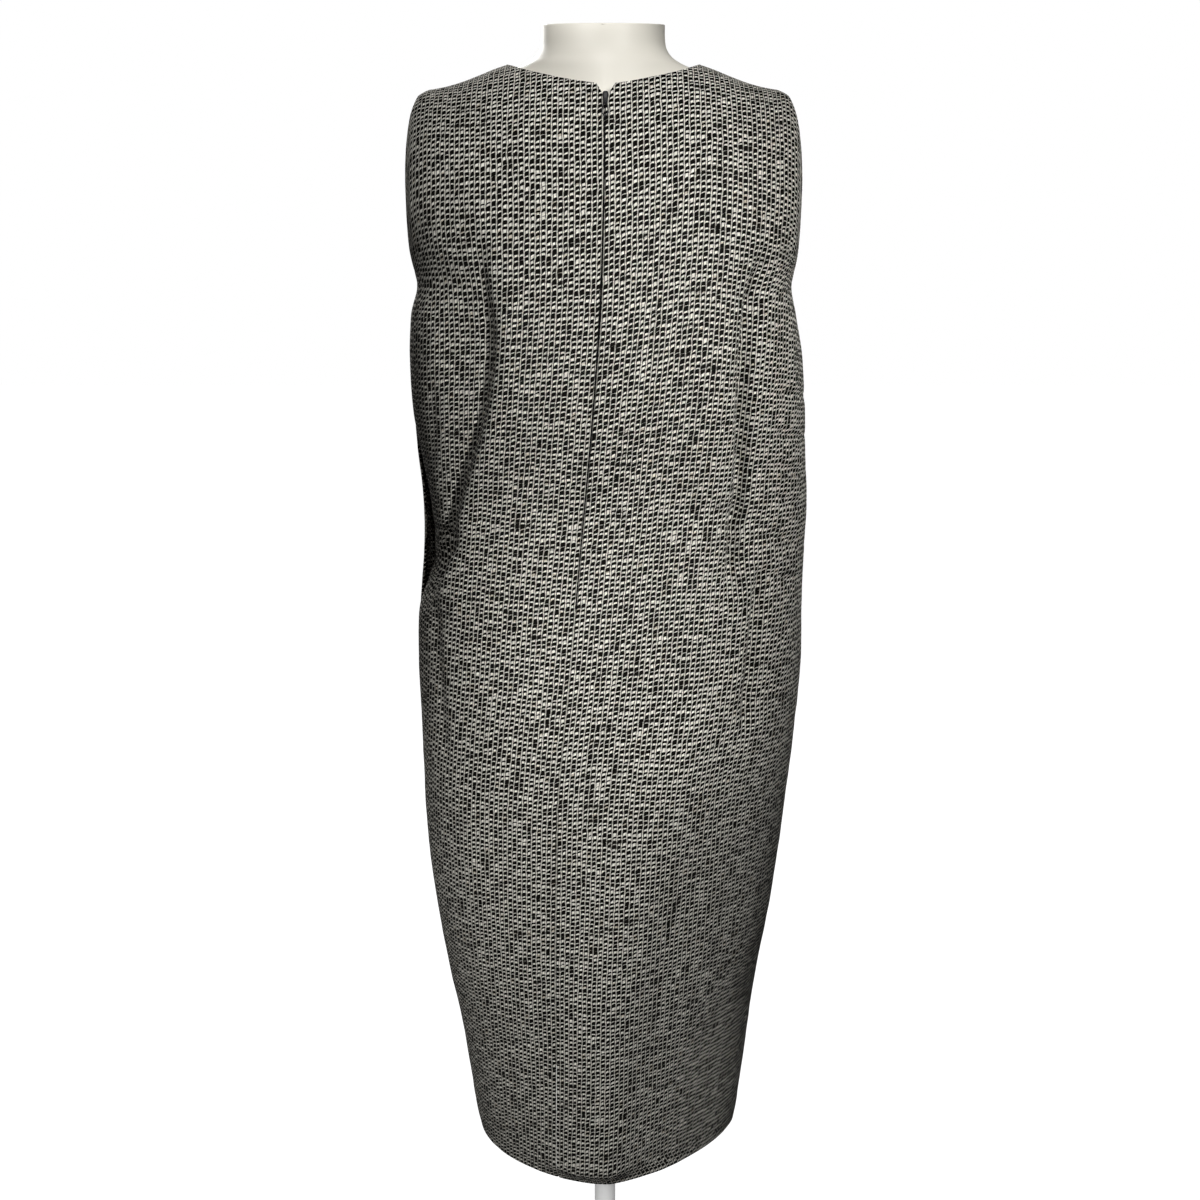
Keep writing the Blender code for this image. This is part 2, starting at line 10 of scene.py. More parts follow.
import bmesh
import bpy
import numpy as np
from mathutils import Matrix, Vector


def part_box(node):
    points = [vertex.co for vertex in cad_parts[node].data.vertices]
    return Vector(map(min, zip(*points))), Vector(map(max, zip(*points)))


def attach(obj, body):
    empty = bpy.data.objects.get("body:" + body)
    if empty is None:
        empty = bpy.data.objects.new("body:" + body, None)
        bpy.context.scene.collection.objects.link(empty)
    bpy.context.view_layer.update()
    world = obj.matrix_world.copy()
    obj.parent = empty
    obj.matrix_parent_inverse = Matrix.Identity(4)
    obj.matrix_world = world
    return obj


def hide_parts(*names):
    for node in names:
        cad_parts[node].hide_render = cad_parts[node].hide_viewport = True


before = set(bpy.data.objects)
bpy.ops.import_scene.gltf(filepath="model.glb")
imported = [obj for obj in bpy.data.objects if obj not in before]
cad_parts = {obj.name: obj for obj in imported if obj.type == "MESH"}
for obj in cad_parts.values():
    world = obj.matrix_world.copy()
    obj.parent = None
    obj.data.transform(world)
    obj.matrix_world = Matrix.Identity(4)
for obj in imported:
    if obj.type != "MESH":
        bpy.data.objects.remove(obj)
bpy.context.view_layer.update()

STILL = "dress_and_form"
MOVING = "zip_tab"

# ------------------------------------------------------------ sizes, as the solids have them
CLOTH = 0.0018  # its thickness
HEM = 0.461
UNDERARM = 1.339
BACK_NECK = 1.4995
NOTCH_LOW = 1.4870
NOTCH_HALF = 0.0075
FRONT_NECK = 1.428
SHOULDER_REACH = 0.110  # how far below its ridge the shoulder rounds over
RIDGE_Y = 0.004
ZIP_END = 1.056
FRONT_SQUARE = 2.25  # an outline's power: 2 is an ellipse, and more is squarer
NECK_POINT = 0.0825
SHOULDER_TIP = 0.1595
UPPER_SHIFT = 0.0013  # the shoulders hang a little to the wearer's left
NECK_SHARE = {"back": 0.50, "front": 0.56}  # how much of a panel's top edge is neckline
NECK_SQUARE = {"back": 1.32, "front": 2.1}  # the neckline's power, a little below the solids'
UPPER_ROWS_POWER = 1.8
NECK_COLUMNS_POWER = 1.5
FOLD_ENDS = 0.7
FOLD_FACING = 1.3  # a fold moves the cloth more front to back than sideways

SECTION_COLUMNS = "height half_width shift side back front left_square right_square".split()
SECTIONS = (
    (0.461, 0.1362, -0.0022, -0.037, 0.0775, -0.137, 1.78, 1.45),
    (0.477, 0.1391, -0.0018, -0.035, 0.0778, -0.136, 1.80, 1.47),
    (0.540, 0.1460, -0.0005, -0.031, 0.0795, -0.134, 1.85, 1.55),
    (0.602, 0.1525, 0.0005, -0.027, 0.0830, -0.131, 1.92, 1.66),
    (0.661, 0.1599, 0.0014, -0.022, 0.0880, -0.128, 2.00, 1.80),
    (0.720, 0.1675, 0.0014, -0.016, 0.0925, -0.126, 2.10, 1.95),
    (0.777, 0.1730, 0.0012, -0.013, 0.0985, -0.124, 2.20, 2.10),
    (0.832, 0.1768, 0.0000, -0.010, 0.1040, -0.122, 2.28, 2.22),
    (0.887, 0.1794, -0.0020, -0.008, 0.1075, -0.121, 2.35, 2.32),
    (0.939, 0.1817, -0.0038, -0.008, 0.1065, -0.119, 2.40, 2.40),
    (0.990, 0.1834, -0.0050, -0.009, 0.1010, -0.116, 2.40, 2.40),
    (1.040, 0.1826, -0.0052, -0.010, 0.0920, -0.112, 2.35, 2.35),
    (1.089, 0.1806, -0.0078, -0.010, 0.0835, -0.110, 2.30, 2.30),
    (1.136, 0.1803, -0.0088, -0.010, 0.0810, -0.112, 2.30, 2.30),
    (1.183, 0.1806, -0.0055, -0.010, 0.0860, -0.119, 2.30, 2.30),
    (1.230, 0.1804, -0.0028, -0.009, 0.0945, -0.128, 2.35, 2.35),
    (1.275, 0.1781, -0.0008, -0.008, 0.1010, -0.131, 2.40, 2.40),
    (1.312, 0.1728, 0.0015, -0.007, 0.1045, -0.127, 2.45, 2.45),
    (1.339, 0.1672, 0.0010, -0.006, 0.1060, -0.120, 2.50, 2.50),
    (1.370, 0.1760, 0.0010, -0.004, 0.1060, -0.109, 2.50, 2.50),
    (1.400, 0.1810, 0.0010, -0.002, 0.1035, -0.097, 2.50, 2.50),
    (1.450, 0.1840, 0.0010, 0.000, 0.0970, -0.080, 2.50, 2.50),
    (1.530, 0.1840, 0.0010, 0.000, 0.0930, -0.066, 2.50, 2.50),
)
CENTRE_SEAM = (
    (0.461, 0.0470),
    (0.700, 0.0465),
    (0.860, 0.0440),
    (0.930, 0.0385),
    (1.000, 0.0310),
    (1.100, 0.0225),
    (1.160, 0.0168),
    (1.250, 0.0088),
    (1.340, 0.0030),
    (1.520, -0.0010),
)
SHOULDER = (
    (0.0000, 1.5400),
    (0.0600, 1.5290),
    (0.0825, 1.5217),
    (0.0940, 1.5180),
    (0.1050, 1.5138),
    (0.1195, 1.5086),
    (0.1340, 1.5045),
    (0.1535, 1.5004),
    (0.1620, 1.4955),
    (0.1700, 1.4870),
)
ARMHOLE_COLUMNS = "height back front".split()
ARMHOLE = (
    (1.339, 0.1668, 0.1668),
    (1.352, 0.1678, 0.1615),
    (1.375, 0.1684, 0.1560),
    (1.405, 0.1687, 0.1520),
    (1.440, 0.1689, 0.1525),
    (1.475, 0.1657, 0.1565),
    (1.4965, 0.1595, 0.1595),
)
# x and height of a fold's two ends, its bow, its width, and its depth, below 0 for a trough
Fold = namedtuple("Fold", "x_top z_top x_low z_low bow width depth")
FOLDS = {
    "back": (
        (0.15, 1.36, 0.163, 1.11, 0.004, 0.017, 0.005),
        (0.136, 1.13, 0.172, 1.078, 0.004, 0.01, -0.005),
        (-0.06, 1.15, -0.178, 1.105, 0.006, 0.012, -0.0035),
    ),
    "front": (
        (0.118, 1.3, 0.142, 1.06, 0.01, 0.015, -0.0065),
        (-0.122, 1.31, -0.136, 1.08, -0.008, 0.015, -0.006),
        (-0.06, 1.14, -0.166, 1.085, 0.006, 0.013, -0.004),
        (0.05, 0.9, 0.066, 0.56, 0.004, 0.026, -0.0035),
    ),
}
NO_FOLDS = {"back": (), "front": ()}

# ------------------------------------------------------------ the finer creases
CREASES = {
    "back": (
        (0.128, 1.235, 0.15, 1.12, 0.004, 0.006, -0.0014),
        (0.06, 1.205, 0.12, 1.135, 0.006, 0.011, -0.002),
        (0.152, 1.265, 0.164, 1.17, 0.002, 0.006, -0.0018),
        (0.125, 1.095, 0.176, 1.118, -0.004, 0.006, -0.002),
        (0.11, 1.05, 0.168, 1.03, 0.003, 0.012, -0.0014),
        (-0.022, 1.138, -0.11, 1.1355, 0.0, 0.0035, -0.0011),
        (-0.138, 1.122, -0.188, 1.098, 0.002, 0.0035, -0.0026),
        (-0.146, 1.248, -0.186, 1.236, 0.001, 0.0042, -0.0026),
        (-0.15, 1.214, -0.186, 1.2, -0.001, 0.004, -0.0034),
        (-0.146, 1.184, -0.186, 1.166, 0.001, 0.0044, -0.003),
        (-0.15, 1.156, -0.184, 1.136, 0.001, 0.0042, -0.0032),
        (-0.136, 1.086, -0.186, 1.066, 0.002, 0.006, -0.003),
        (-0.12, 1.185, -0.172, 1.15, 0.003, 0.009, -0.0014),
        (-0.152, 1.33, -0.16, 1.18, 0.003, 0.008, -0.002),
        (-0.105, 1.1, -0.1, 0.96, 0.004, 0.014, -0.0014),
        (0.02, 1.16, 0.07, 1.12, 0.003, 0.013, -0.0012),
        (-0.02, 1.185, -0.07, 1.16, 0.003, 0.014, -0.0012),
        (0.12, 0.96, 0.1, 0.64, 0.006, 0.024, -0.002),
        (-0.128, 0.9, -0.1, 0.56, 0.004, 0.02, -0.002),
        (-0.03, 0.88, -0.024, 0.5, -0.004, 0.026, -0.0016),
        (0.134, 0.59, 0.03, 0.624, 0.003, 0.005, -0.0012),
        (0.14, 1.44, 0.128, 1.36, 0.003, 0.013, -0.0016),
        (-0.128, 1.45, -0.14, 1.37, 0.003, 0.014, -0.0014),
        (0.08, 1.44, 0.1, 1.35, 0.004, 0.02, -0.0012),
    ),
    "front": (
        (0.16, 1.24, 0.105, 1.255, 0.003, 0.009, -0.0022),
        (-0.158, 1.236, -0.104, 1.25, 0.003, 0.009, -0.002),
        (0.04, 1.175, 0.14, 1.12, 0.006, 0.012, -0.0022),
        (-0.03, 1.18, -0.12, 1.14, 0.005, 0.011, -0.002),
        (0.02, 1.12, 0.15, 1.098, 0.005, 0.008, -0.0018),
        (-0.13, 1.085, -0.172, 1.06, 0.003, 0.007, -0.002),
        (0.12, 0.98, 0.15, 0.9, 0.003, 0.014, -0.0016),
        (-0.06, 0.9, -0.074, 0.54, 0.006, 0.022, -0.0026),
        (0.11, 0.86, 0.104, 0.52, 0.006, 0.018, 0.0024),
        (-0.12, 0.82, -0.11, 0.5, 0.006, 0.018, 0.002),
        (0.0, 1.39, 0.006, 1.3, 0.004, 0.026, -0.002),
        (0.132, 1.42, 0.12, 1.34, 0.004, 0.012, -0.0018),
        (-0.134, 1.415, -0.124, 1.345, 0.004, 0.012, -0.0018),
    ),
}
# folds that drag down a long curve: steep towards the wearer's right, and low towards the left,
# with a groove at the foot; the path's rows are a height and where the fold is across
Drag = namedtuple("Drag", "steep low_for depth groove groove_width fade_high fade_low path")
DRAGS = {
    "back": (
        (0.01, 0.058, -0.0115, -0.003, 0.006, 0.13, 0.06, (
            (1.03, 0.172), (1.08, 0.1541), (1.166, 0.127), (1.2265, 0.1065),
            (1.284, 0.096), (1.325, 0.097), (1.41, 0.106),
        )),
        (0.008, 0.02, -0.004, -0.0095, 0.0052, 0.06, 0.07, (
            (1.04, -0.112), (1.097, -0.118), (1.165, -0.1236),
            (1.265, -0.1242), (1.318, -0.1289), (1.38, -0.14),
        )),
        (0.006, 0.016, -0.002, -0.0075, 0.0046, 0.04, 0.06, (
            (0.92, -0.128), (0.966, -0.1317), (1.016, -0.1367), (1.06, -0.1411), (1.1, -0.144),
        )),
        (0.046, 0.07, 0.014, 0.0, 0.005, 0.12, 0.02, (
            (0.46, -0.018), (0.624, -0.034), (0.725, -0.0473), (0.801, -0.0622),
            (0.862, -0.0777), (0.921, -0.088), (1.01, -0.1),
        )),
        (0.008, 0.02, -0.002, -0.0016, 0.005, 0.06, 0.06, (
            (0.88, 0.146), (0.947, 0.1476), (1.012, 0.1515), (1.09, 0.156),
        )),
    ),
    "front": (
        (0.009, 0.03, -0.004, -0.002, 0.005, 0.08, 0.08, (
            (1.05, 0.138), (1.15, 0.129), (1.24, 0.12), (1.33, 0.118),
        )),
    ),
}
DARTS = (
    # from the side seam towards the bust: x and height of each end
    (0.170, 1.260, 0.102, 1.283),
    (-0.170, 1.260, -0.100, 1.283),
)


# ------------------------------------------------------------ tables
class Table:
    """Smooth values between a table's rows, read by the first column."""

    def __init__(self, columns, rows):
        self.columns = columns
        self.rows = np.array(rows, float)

    def __call__(self, column, at):
        heights, values = self.rows[:, 0], self.rows[:, self.columns.index(column)]
        last = len(heights) - 1
        at = np.clip(np.asarray(at, float), heights[0], heights[last])
        index = np.clip(np.searchsorted(heights, at, side="left") - 1, 0, last - 1)
        high = np.minimum(np.arange(last + 1) + 1, last)
        low = np.maximum(np.arange(last + 1) - 1, 0)
        slope = (values[high] - values[low]) / (heights[high] - heights[low])
        span = heights[index + 1] - heights[index]
        part = (at - heights[index]) / span
        fall = 2 * part**3 - 3 * part**2 + 1
        start_pull = (part**3 - 2 * part**2 + part) * span * slope[index]
        end_pull = (part**3 - part**2) * span * slope[index + 1]
        return fall * values[index] + (1 - fall) * values[index + 1] + start_pull + end_pull


section = Table(SECTION_COLUMNS, SECTIONS)
seam_table = Table(["height", "across"], CENTRE_SEAM)
shoulder_table = Table(["across", "height"], SHOULDER)
armhole_table = Table(ARMHOLE_COLUMNS, ARMHOLE)


def centre_seam(height):
    return seam_table("across", height)


def ridge(across):
    return shoulder_table("height", np.abs(np.asarray(across) - UPPER_SHIFT))


def squareness(side, across, height):
    if side == "front":
        return np.full(np.broadcast(across, height).shape, FRONT_SQUARE)
    left = np.asarray(across) > section("shift", height)
    return np.where(left, section("left_square", height), section("right_square", height))


# ------------------------------------------------------------ the cloth's form
SLANT_REACH = 0.004  # how far up and down a line's slant is taken


def smooth(part):
    part = np.clip(part, 0.0, 1.0)
    return part * part * (3 - 2 * part)


def bell(distance, width):
    return np.exp(-((distance / width) ** 2))


def fold_depth(folds, side, across, height):
    """How far out the folds of a side move its cloth."""
    moved = np.zeros(np.broadcast(across, height).shape)
    for fold in map(Fold._make, folds[side]):
        run = np.array((fold.x_low - fold.x_top, fold.z_low - fold.z_top))
        length = np.linalg.norm(run)
        run = run / length
        aside_x, aside_z = across - fold.x_top, height - fold.z_top
        along = (aside_x * run[0] + aside_z * run[1]) / length
        inside = (along > 0) & (along < 1)
        along = np.clip(along, 0.0, 1.0)
        aside = aside_x * run[1] - aside_z * run[0] - 4 * fold.bow * along * (1 - along)
        ends = np.sin(math.pi * along) ** FOLD_ENDS
        moved = moved + np.where(inside, fold.depth * ends * bell(aside, fold.width), 0.0)
    return moved


def drag_depth(side, across, height):
    """The same for the folds that drag."""
    moved = np.zeros(np.broadcast(across, height).shape)
    for drag in map(Drag._make, DRAGS[side]):
        path = Table(["height", "across"], drag.path)
        lowest, highest = drag.path[0][0], drag.path[-1][0]
        slant = path("across", height + SLANT_REACH) - path("across", height - SLANT_REACH)
        aside = (across - path("across", height)) / np.hypot(1, slant / (2 * SLANT_REACH))
        ends = smooth((highest - height) / drag.fade_high)
        ends = ends * smooth((height - lowest) / drag.fade_low)
        rise = 1 / (1 + np.exp(np.clip(-4.0 * aside / drag.steep, -40.0, 40.0)))
        low = np.exp(-((np.maximum(aside, 0.0) / drag.low_for) ** 4))
        foot = bell(aside - drag.steep * 0.4, drag.groove_width)
        moved = moved + ends * (drag.depth * rise * low + drag.groove * foot)
    return moved


def cloth(side, across, height, folds=FOLDS):
    """Points of the dress's outside, seen at places from the back or the front."""
    across, height = np.broadcast_arrays(np.asarray(across, float), np.asarray(height, float))
    half = section("half_width", height)
    middle = section("side", height)
    reach = section(side, height) - middle
    square = squareness(side, across, height)
    part = np.minimum(np.abs(across - section("shift", height)) / half, 1.0)
    depth = reach * (1 - part**square) ** (1 / square)
    drop = (ridge(across) - height) / SHOULDER_REACH
    curve = np.sqrt(np.maximum(1 - (1 - np.clip(drop, 0.0, 1.0)) ** 2, 0.0))
    low = RIDGE_Y - middle
    depth = np.where(drop < 1.0, low + (depth - low) * curve, depth)
    out_x = part * np.copysign(1.0, across)
    out_y = depth / np.abs(reach) * FOLD_FACING
    length = np.maximum(np.hypot(out_x, out_y), 1e-9)
    moved = fold_depth(folds, side, across, height)
    x, y = across + out_x / length * moved, middle + depth + out_y / length * moved
    return np.stack([x, y, height], axis=-1)


def side_share(side, across, height):
    offset = np.clip((across - section("shift", height)) / section("half_width", height), -1, 1)
    angle = np.arcsin(np.abs(offset) ** (squareness(side, across, height) / 2))
    return np.copysign(angle / (math.pi / 2), offset)


def across_at(side, share, height):
    square = squareness(side, section("shift", height) + share, height)
    reach = np.sin(np.abs(share) * math.pi / 2) ** (2 / square)
    return section("shift", height) + section("half_width", height) * np.copysign(reach, share)


def notch(height):
    return NOTCH_HALF * np.maximum(0.0, height - NOTCH_LOW) / (BACK_NECK - NOTCH_LOW)


def top_place(side, sign, share):
    """Places on the top edge, from the centre (0) to the shoulder's tip (1)."""
    neck = NECK_SHARE[side]
    reach = np.clip((share - neck) / (1 - neck), 0, 1)
    over = UPPER_SHIFT + sign * (NECK_POINT + (SHOULDER_TIP - NECK_POINT) * reach)
    angle = math.pi / 2 * (1 - (1 - np.clip(share / neck, 0, 1)) ** NECK_COLUMNS_POWER)
    power = 2 / NECK_SQUARE[side]
    start = sign * NOTCH_HALF + centre_seam(BACK_NECK) if side == "back" else 0.0 * angle
    end = UPPER_SHIFT + sign * NECK_POINT
    low = BACK_NECK if side == "back" else FRONT_NECK
    high = ridge(end)
    neck_across = start + (end - start) * np.sin(angle) ** power
    neck_height = high - (high - low) * np.clip(np.cos(angle), 0, 1) ** power
    on_neck = share < neck
    return np.where(on_neck, neck_across, over), np.where(on_neck, neck_height, ridge(over))


SIGNS = {"left": 1, "right": -1}


def panel_places(side, start, end, parts, levels):
    """Where a panel's points are as seen from outside: across and height, rows by columns."""
    own_sign = SIGNS.get(start) or SIGNS.get(end)
    part, level = np.meshgrid(parts, levels)
    height = HEM + (UNDERARM - HEM) * np.minimum(level, 1.0)

    def edge_share(edge):
        if edge == "centre":
            return side_share(side, centre_seam(height), height)
        return np.full(height.shape, float(SIGNS[edge]))

    share = edge_share(start) + (edge_share(end) - edge_share(start)) * part
    low_across = across_at(side, share, height)

    def edge_place(edge, rise):
        place = UNDERARM + (BACK_NECK - UNDERARM) * rise
        if edge == "centre":
            return centre_seam(place) + own_sign * notch(place), place
        place = ARMHOLE[0][0] + (ARMHOLE[-1][0] - ARMHOLE[0][0]) * rise
        return UPPER_SHIFT + SIGNS[edge] * armhole_table(side, place), place

    if "centre" in (start, end):
        top = top_place(side, own_sign, part if start == "centre" else 1 - part)
    else:
        first = top_place(side, SIGNS[start], np.abs(2 * part - 1))
        second = top_place(side, SIGNS[end], np.abs(2 * part - 1))
        top = [np.where(part < 0.5, one, other) for one, other in zip(first, second)]
    rise = 1 - np.clip(2 - level, 0, 1) ** UPPER_ROWS_POWER
    low = (low_across, np.full(height.shape, UNDERARM))
    places = []
    for axis in (0, 1):
        value = low[axis] * (1 - rise) + top[axis] * rise
        for edge, weight in ((start, 1 - part), (end, part)):
            bottom = edge_place(edge, 0.0 * rise)[axis]
            tip = edge_place(edge, 0.0 * rise + 1)[axis]
            bent = edge_place(edge, rise)[axis] - bottom * (1 - rise) - tip * rise
            value = value + weight * bent
        places.append(value)
    lower = level <= 1.0
    return np.where(lower, low_across, places[0]), np.where(lower, height, places[1])


def normals(points):
    """Unit normals of a grid of points, from its neighbours in both directions."""
    down = np.gradient(points, axis=0)
    along = np.gradient(points, axis=1)
    normal = np.cross(along, down)
    return normal / np.maximum(np.linalg.norm(normal, axis=-1, keepdims=True), 1e-12)


# ------------------------------------------------------------ the grain: where each yarn runs
def running(points, axis):
    """The length along a grid's lines from their first point."""
    steps = np.linalg.norm(np.diff(points, axis=axis), axis=-1)
    lengths = np.cumsum(steps, axis=axis)
    return np.concatenate([0 * lengths.take([0], axis), lengths], axis=axis)


def between(grid, row_at, column_at):
    """A grid's values at places between its rows and columns."""
    row = np.minimum(row_at.astype(int), grid.shape[0] - 2)
    column = np.minimum(column_at.astype(int), grid.shape[1] - 2)
    down, along = row_at - row, column_at - column
    first = grid[row, column] * (1 - along) + grid[row, column + 1] * along
    second = grid[row + 1, column] * (1 - along) + grid[row + 1, column + 1] * along
    return first * (1 - down) + second * down


GRAIN_TOP = 1.535
GRAIN_ROWS, GRAIN_COLUMNS = 360, 481  # the fineness of the tables that the lengths are read from
UPPER_ROWS, UPPER_COLUMNS, UPPER_HALF = 140, 121, 0.18  # the same above the underarm
GRAIN_FLAT = 1.42  # above this height the yarns run straight up and over the shoulder
ROW_SLOPES = (
    # how steeply the rows rise away from the centre: wearer's left, right, and right past a bend
    (0.46, 0.03, 0.00, 0.00),
    (0.80, 0.06, 0.01, 0.00),
    (0.97, 0.12, 0.02, 0.00),
    (1.12, 0.08, 0.02, -0.02),
    (1.20, 0.02, 0.06, -0.10),
    (1.30, 0.00, 0.11, -0.20),
    (1.53, 0.02, 0.12, -0.24),
)
ROW_BEND = 0.085  # the bend's distance from the centre
BEND_SOFT, CENTRE_SOFT = 0.02, 0.01  # how softly the rows turn there and at the centre
row_slopes = Table(["height", "left", "right", "beyond"], ROW_SLOPES)


def grain(side, across, height):
    """Distances in the cloth across its yarns and along them, for places seen from outside."""
    levels = np.linspace(HEM - 0.002, GRAIN_TOP, GRAIN_ROWS)
    shares = np.linspace(-1.0, 1.0, GRAIN_COLUMNS)
    level_grid = np.repeat(levels[:, None], len(shares), axis=1)
    table_across = across_at(side, shares[None, :], level_grid)
    arcs = running(cloth(side, table_across, level_grid, NO_FOLDS), 1)
    line = centre_seam(levels) if side == "back" else 0.0 * levels
    at_line = [np.interp(place, *row) for place, *row in zip(line, table_across, arcs)]
    arcs = arcs - np.array(at_line)[:, None]
    flat_height = np.minimum(height, GRAIN_FLAT)
    row_at = np.interp(flat_height, levels, np.arange(len(levels)))
    share = side_share(side, across, flat_height)
    u = between(arcs, row_at, np.interp(share, shares, np.arange(len(shares))))
    # along the yarns: one curve up to the underarm, then up each line of equal x
    middle_arc = running(cloth(side, line, levels, NO_FOLDS), 0)
    v = np.interp(np.minimum(height, UNDERARM), levels, middle_arc)
    upper = np.linspace(UNDERARM, GRAIN_TOP, UPPER_ROWS)
    places = np.linspace(-UPPER_HALF, UPPER_HALF, UPPER_COLUMNS)
    rising = running(cloth(side, places[None, :], upper[:, None], NO_FOLDS), 0)
    row_at = np.interp(np.maximum(height, UNDERARM), upper, np.arange(len(upper)))
    v = v + between(rising, row_at, np.interp(across, places, np.arange(len(places))))
    slope = np.where(u > 0, row_slopes("left", height), row_slopes("right", height))
    past = -u - ROW_BEND
    past = (past + np.sqrt(past**2 + BEND_SOFT**2)) / 2
    bent = (row_slopes("beyond", height) - slope) * past * (u < 0)
    v = v - slope * np.sqrt(u**2 + CENTRE_SOFT**2) - bent
    outward = -1.0 if side == "back" else 1.0
    return np.stack([u * outward, v], axis=-1)


def taken_in(side, across, height, points, fixed):
    """How much further on the weave is, past folds that take in some of the cloth's width."""
    spare = running(points, 1) - running(cloth(side, across, height, NO_FOLDS), 1)
    column = round(fixed * (spare.shape[1] - 1))
    return spare - spare[:, column:column + 1]


# ------------------------------------------------------------ small unevenness
def ripples(points, seed, longest, shortest, depth, count=26):
    """Smooth uneven swells: many faint waves of lengths between two sizes."""
    numbers = np.random.default_rng(seed)
    moved = np.zeros(points.shape[:-1])
    for _ in range(count):
        direction = numbers.normal(size=3)
        direction[2] *= 0.55
        direction /= np.linalg.norm(direction)
        length = shortest * (longest / shortest) ** numbers.random()
        phase = numbers.random() * 2 * math.pi
        moved += np.sin(points @ direction * (2 * math.pi / length) + phase) * (length / longest)
    return moved * depth / math.sqrt(count)


NECK_BLUNT = (0.0060, 0.0010, 0.0014)  # how far round a neck point, and how far out and down


def blunt_neck(points):
    """The corners where neckline and shoulder meet, turned softly instead of pointed."""
    reach, outward, down = NECK_BLUNT
    for sign in (1, -1):
        across = UPPER_SHIFT + sign * NECK_POINT
        peak = np.array((across, RIDGE_Y, float(ridge(across))))
        near = np.clip(1 - np.linalg.norm(points - peak, axis=-1) / reach, 0, 1) ** 2
        points = points + near[..., None] * np.array((sign * outward, 0.0, -down))
    return points


def near_edge(distance, radius):
    """How far cloth that turns in at an edge has dropped at a distance from it."""
    inside = np.clip(1 - distance / radius, 0, 1)
    return 1 - np.sqrt(1 - inside**2 * 0.999)


# ------------------------------------------------------------ making the panels
SEAM_RADIUS = 0.0026
SEAM_DROP = 0.0016
ZIP_OPEN = 0.00120  # how far each edge stands back from the zip's line
CLOSED = 0.00012  # and from the other seams' lines
DRAWN_COLUMNS = 5  # over which an edge stands back
SEAM_FADE = 0.004  # the height over which a seam of one kind turns into another
SLIDER_FLAT = (1.455, 0.020, 0.012)  # cloth beside the slider lies flat: from, fully by, width
PUCKER, PUCKER_PITCH, PUCKER_WIDTH = 0.00030, 0.021, 0.006
ARMHOLE_FACING, NECK_FACING = 0.010, 0.009  # from the edge to the ridge where a facing ends
HEM_STITCHES, STITCH_PITCH = 0.034, 0.0105
# what is added to a panel's seed; then its swells' longest and shortest lengths, and their depth
SWELLS = ((0, (0.130, 0.035, 0.00075)), (50, (0.030, 0.012, 0.00016)))
SHOULDER_LIES = 0.05  # how far below its ridge the cloth lies on the shoulder
FINE = np.array([0.0005, 0.0010, 0.0016, 0.0023, 0.0034])  # the first columns in from an edge


def fine_shares(count, width, edges):
    """Columns or rows of a panel, closer together near the edges named."""
    plain = np.linspace(0, 1, count + 1)
    near = FINE / width
    extra = []
    if "start" in edges:
        plain = plain[(plain == 0) | (plain > near[-1] * 1.3)]
        extra.extend(near)
    if "end" in edges:
        plain = plain[(plain == 1) | (plain < 1 - near[-1] * 1.3)]
        extra.extend(1 - near)
    return np.sort(np.concatenate([plain, extra]))


def zipped(height):
    return np.clip((height - ZIP_END) / SEAM_FADE, 0, 1)


def centre_relief(moved, distance, height):
    """The centre edge turned in and puckered, and flat beside the slider."""
    low, fade, width = SLIDER_FLAT
    flat = bell(distance, width) * smooth((height - low) / fade)
    pucker = np.sin(height * 2 * math.pi / PUCKER_PITCH + 3 * np.sin(height * 41.0)) * (1 - flat)
    pucker = pucker * np.exp(-distance / PUCKER_WIDTH) * (0.35 + 0.65 * zipped(height))
    return moved * (1 - flat) - SEAM_DROP * near_edge(distance, SEAM_RADIUS) + PUCKER * pucker


def side_relief(distance, height):
    """The side seam's edge turned in, and the armhole's, pressed flat over its facing."""
    below = np.clip((UNDERARM - height) / SEAM_FADE, 0, 1)
    facing = 0.00035 * (1 - below) * bell(distance - ARMHOLE_FACING, 0.003)
    return facing - SEAM_DROP * near_edge(distance, SEAM_RADIUS) * below


def end_relief(points, over_shoulder):
    """The shoulder seam, the neckline, and the hem, turned up and caught with small stitches."""
    up, along = running(points, 0), running(points, 1)
    to_top = up[-1:, :] - up
    shoulder = -0.0006 * near_edge(to_top, 0.0016)
    neckline = 0.0003 * bell(to_top - NECK_FACING, 0.003)
    caught = 0.5 + 0.5 * np.cos(along * 2 * math.pi / STITCH_PITCH)
    stitches = 0.00035 * bell(up - HEM_STITCHES, 0.0024) * caught
    hem = 0.0005 * bell(up, 0.006) - stitches - 0.00015 * bell(up - HEM_STITCHES, 0.004)
    return np.where(over_shoulder, shoulder, neckline) + hem


def dart_relief(across, height):
    """Each dart's seam drawn in, with its fold of cloth standing out beside it."""
    moved = 0.0
    for x_side, z_side, x_tip, z_tip in DARTS:
        run = np.array((x_tip - x_side, z_tip - z_side))
        length = np.linalg.norm(run)
        run = run / length
        far = (across - x_side) * run[0] + (height - z_side) * run[1]
        off = np.abs((across - x_side) * run[1] - (height - z_side) * run[0])
        inside = 1 / (1 + np.exp((far - length) / 0.004))
        moved = moved + (0.0008 * bell(off - 0.004, 0.003) - 0.0011 * bell(off, 0.0016)) * inside
    return moved


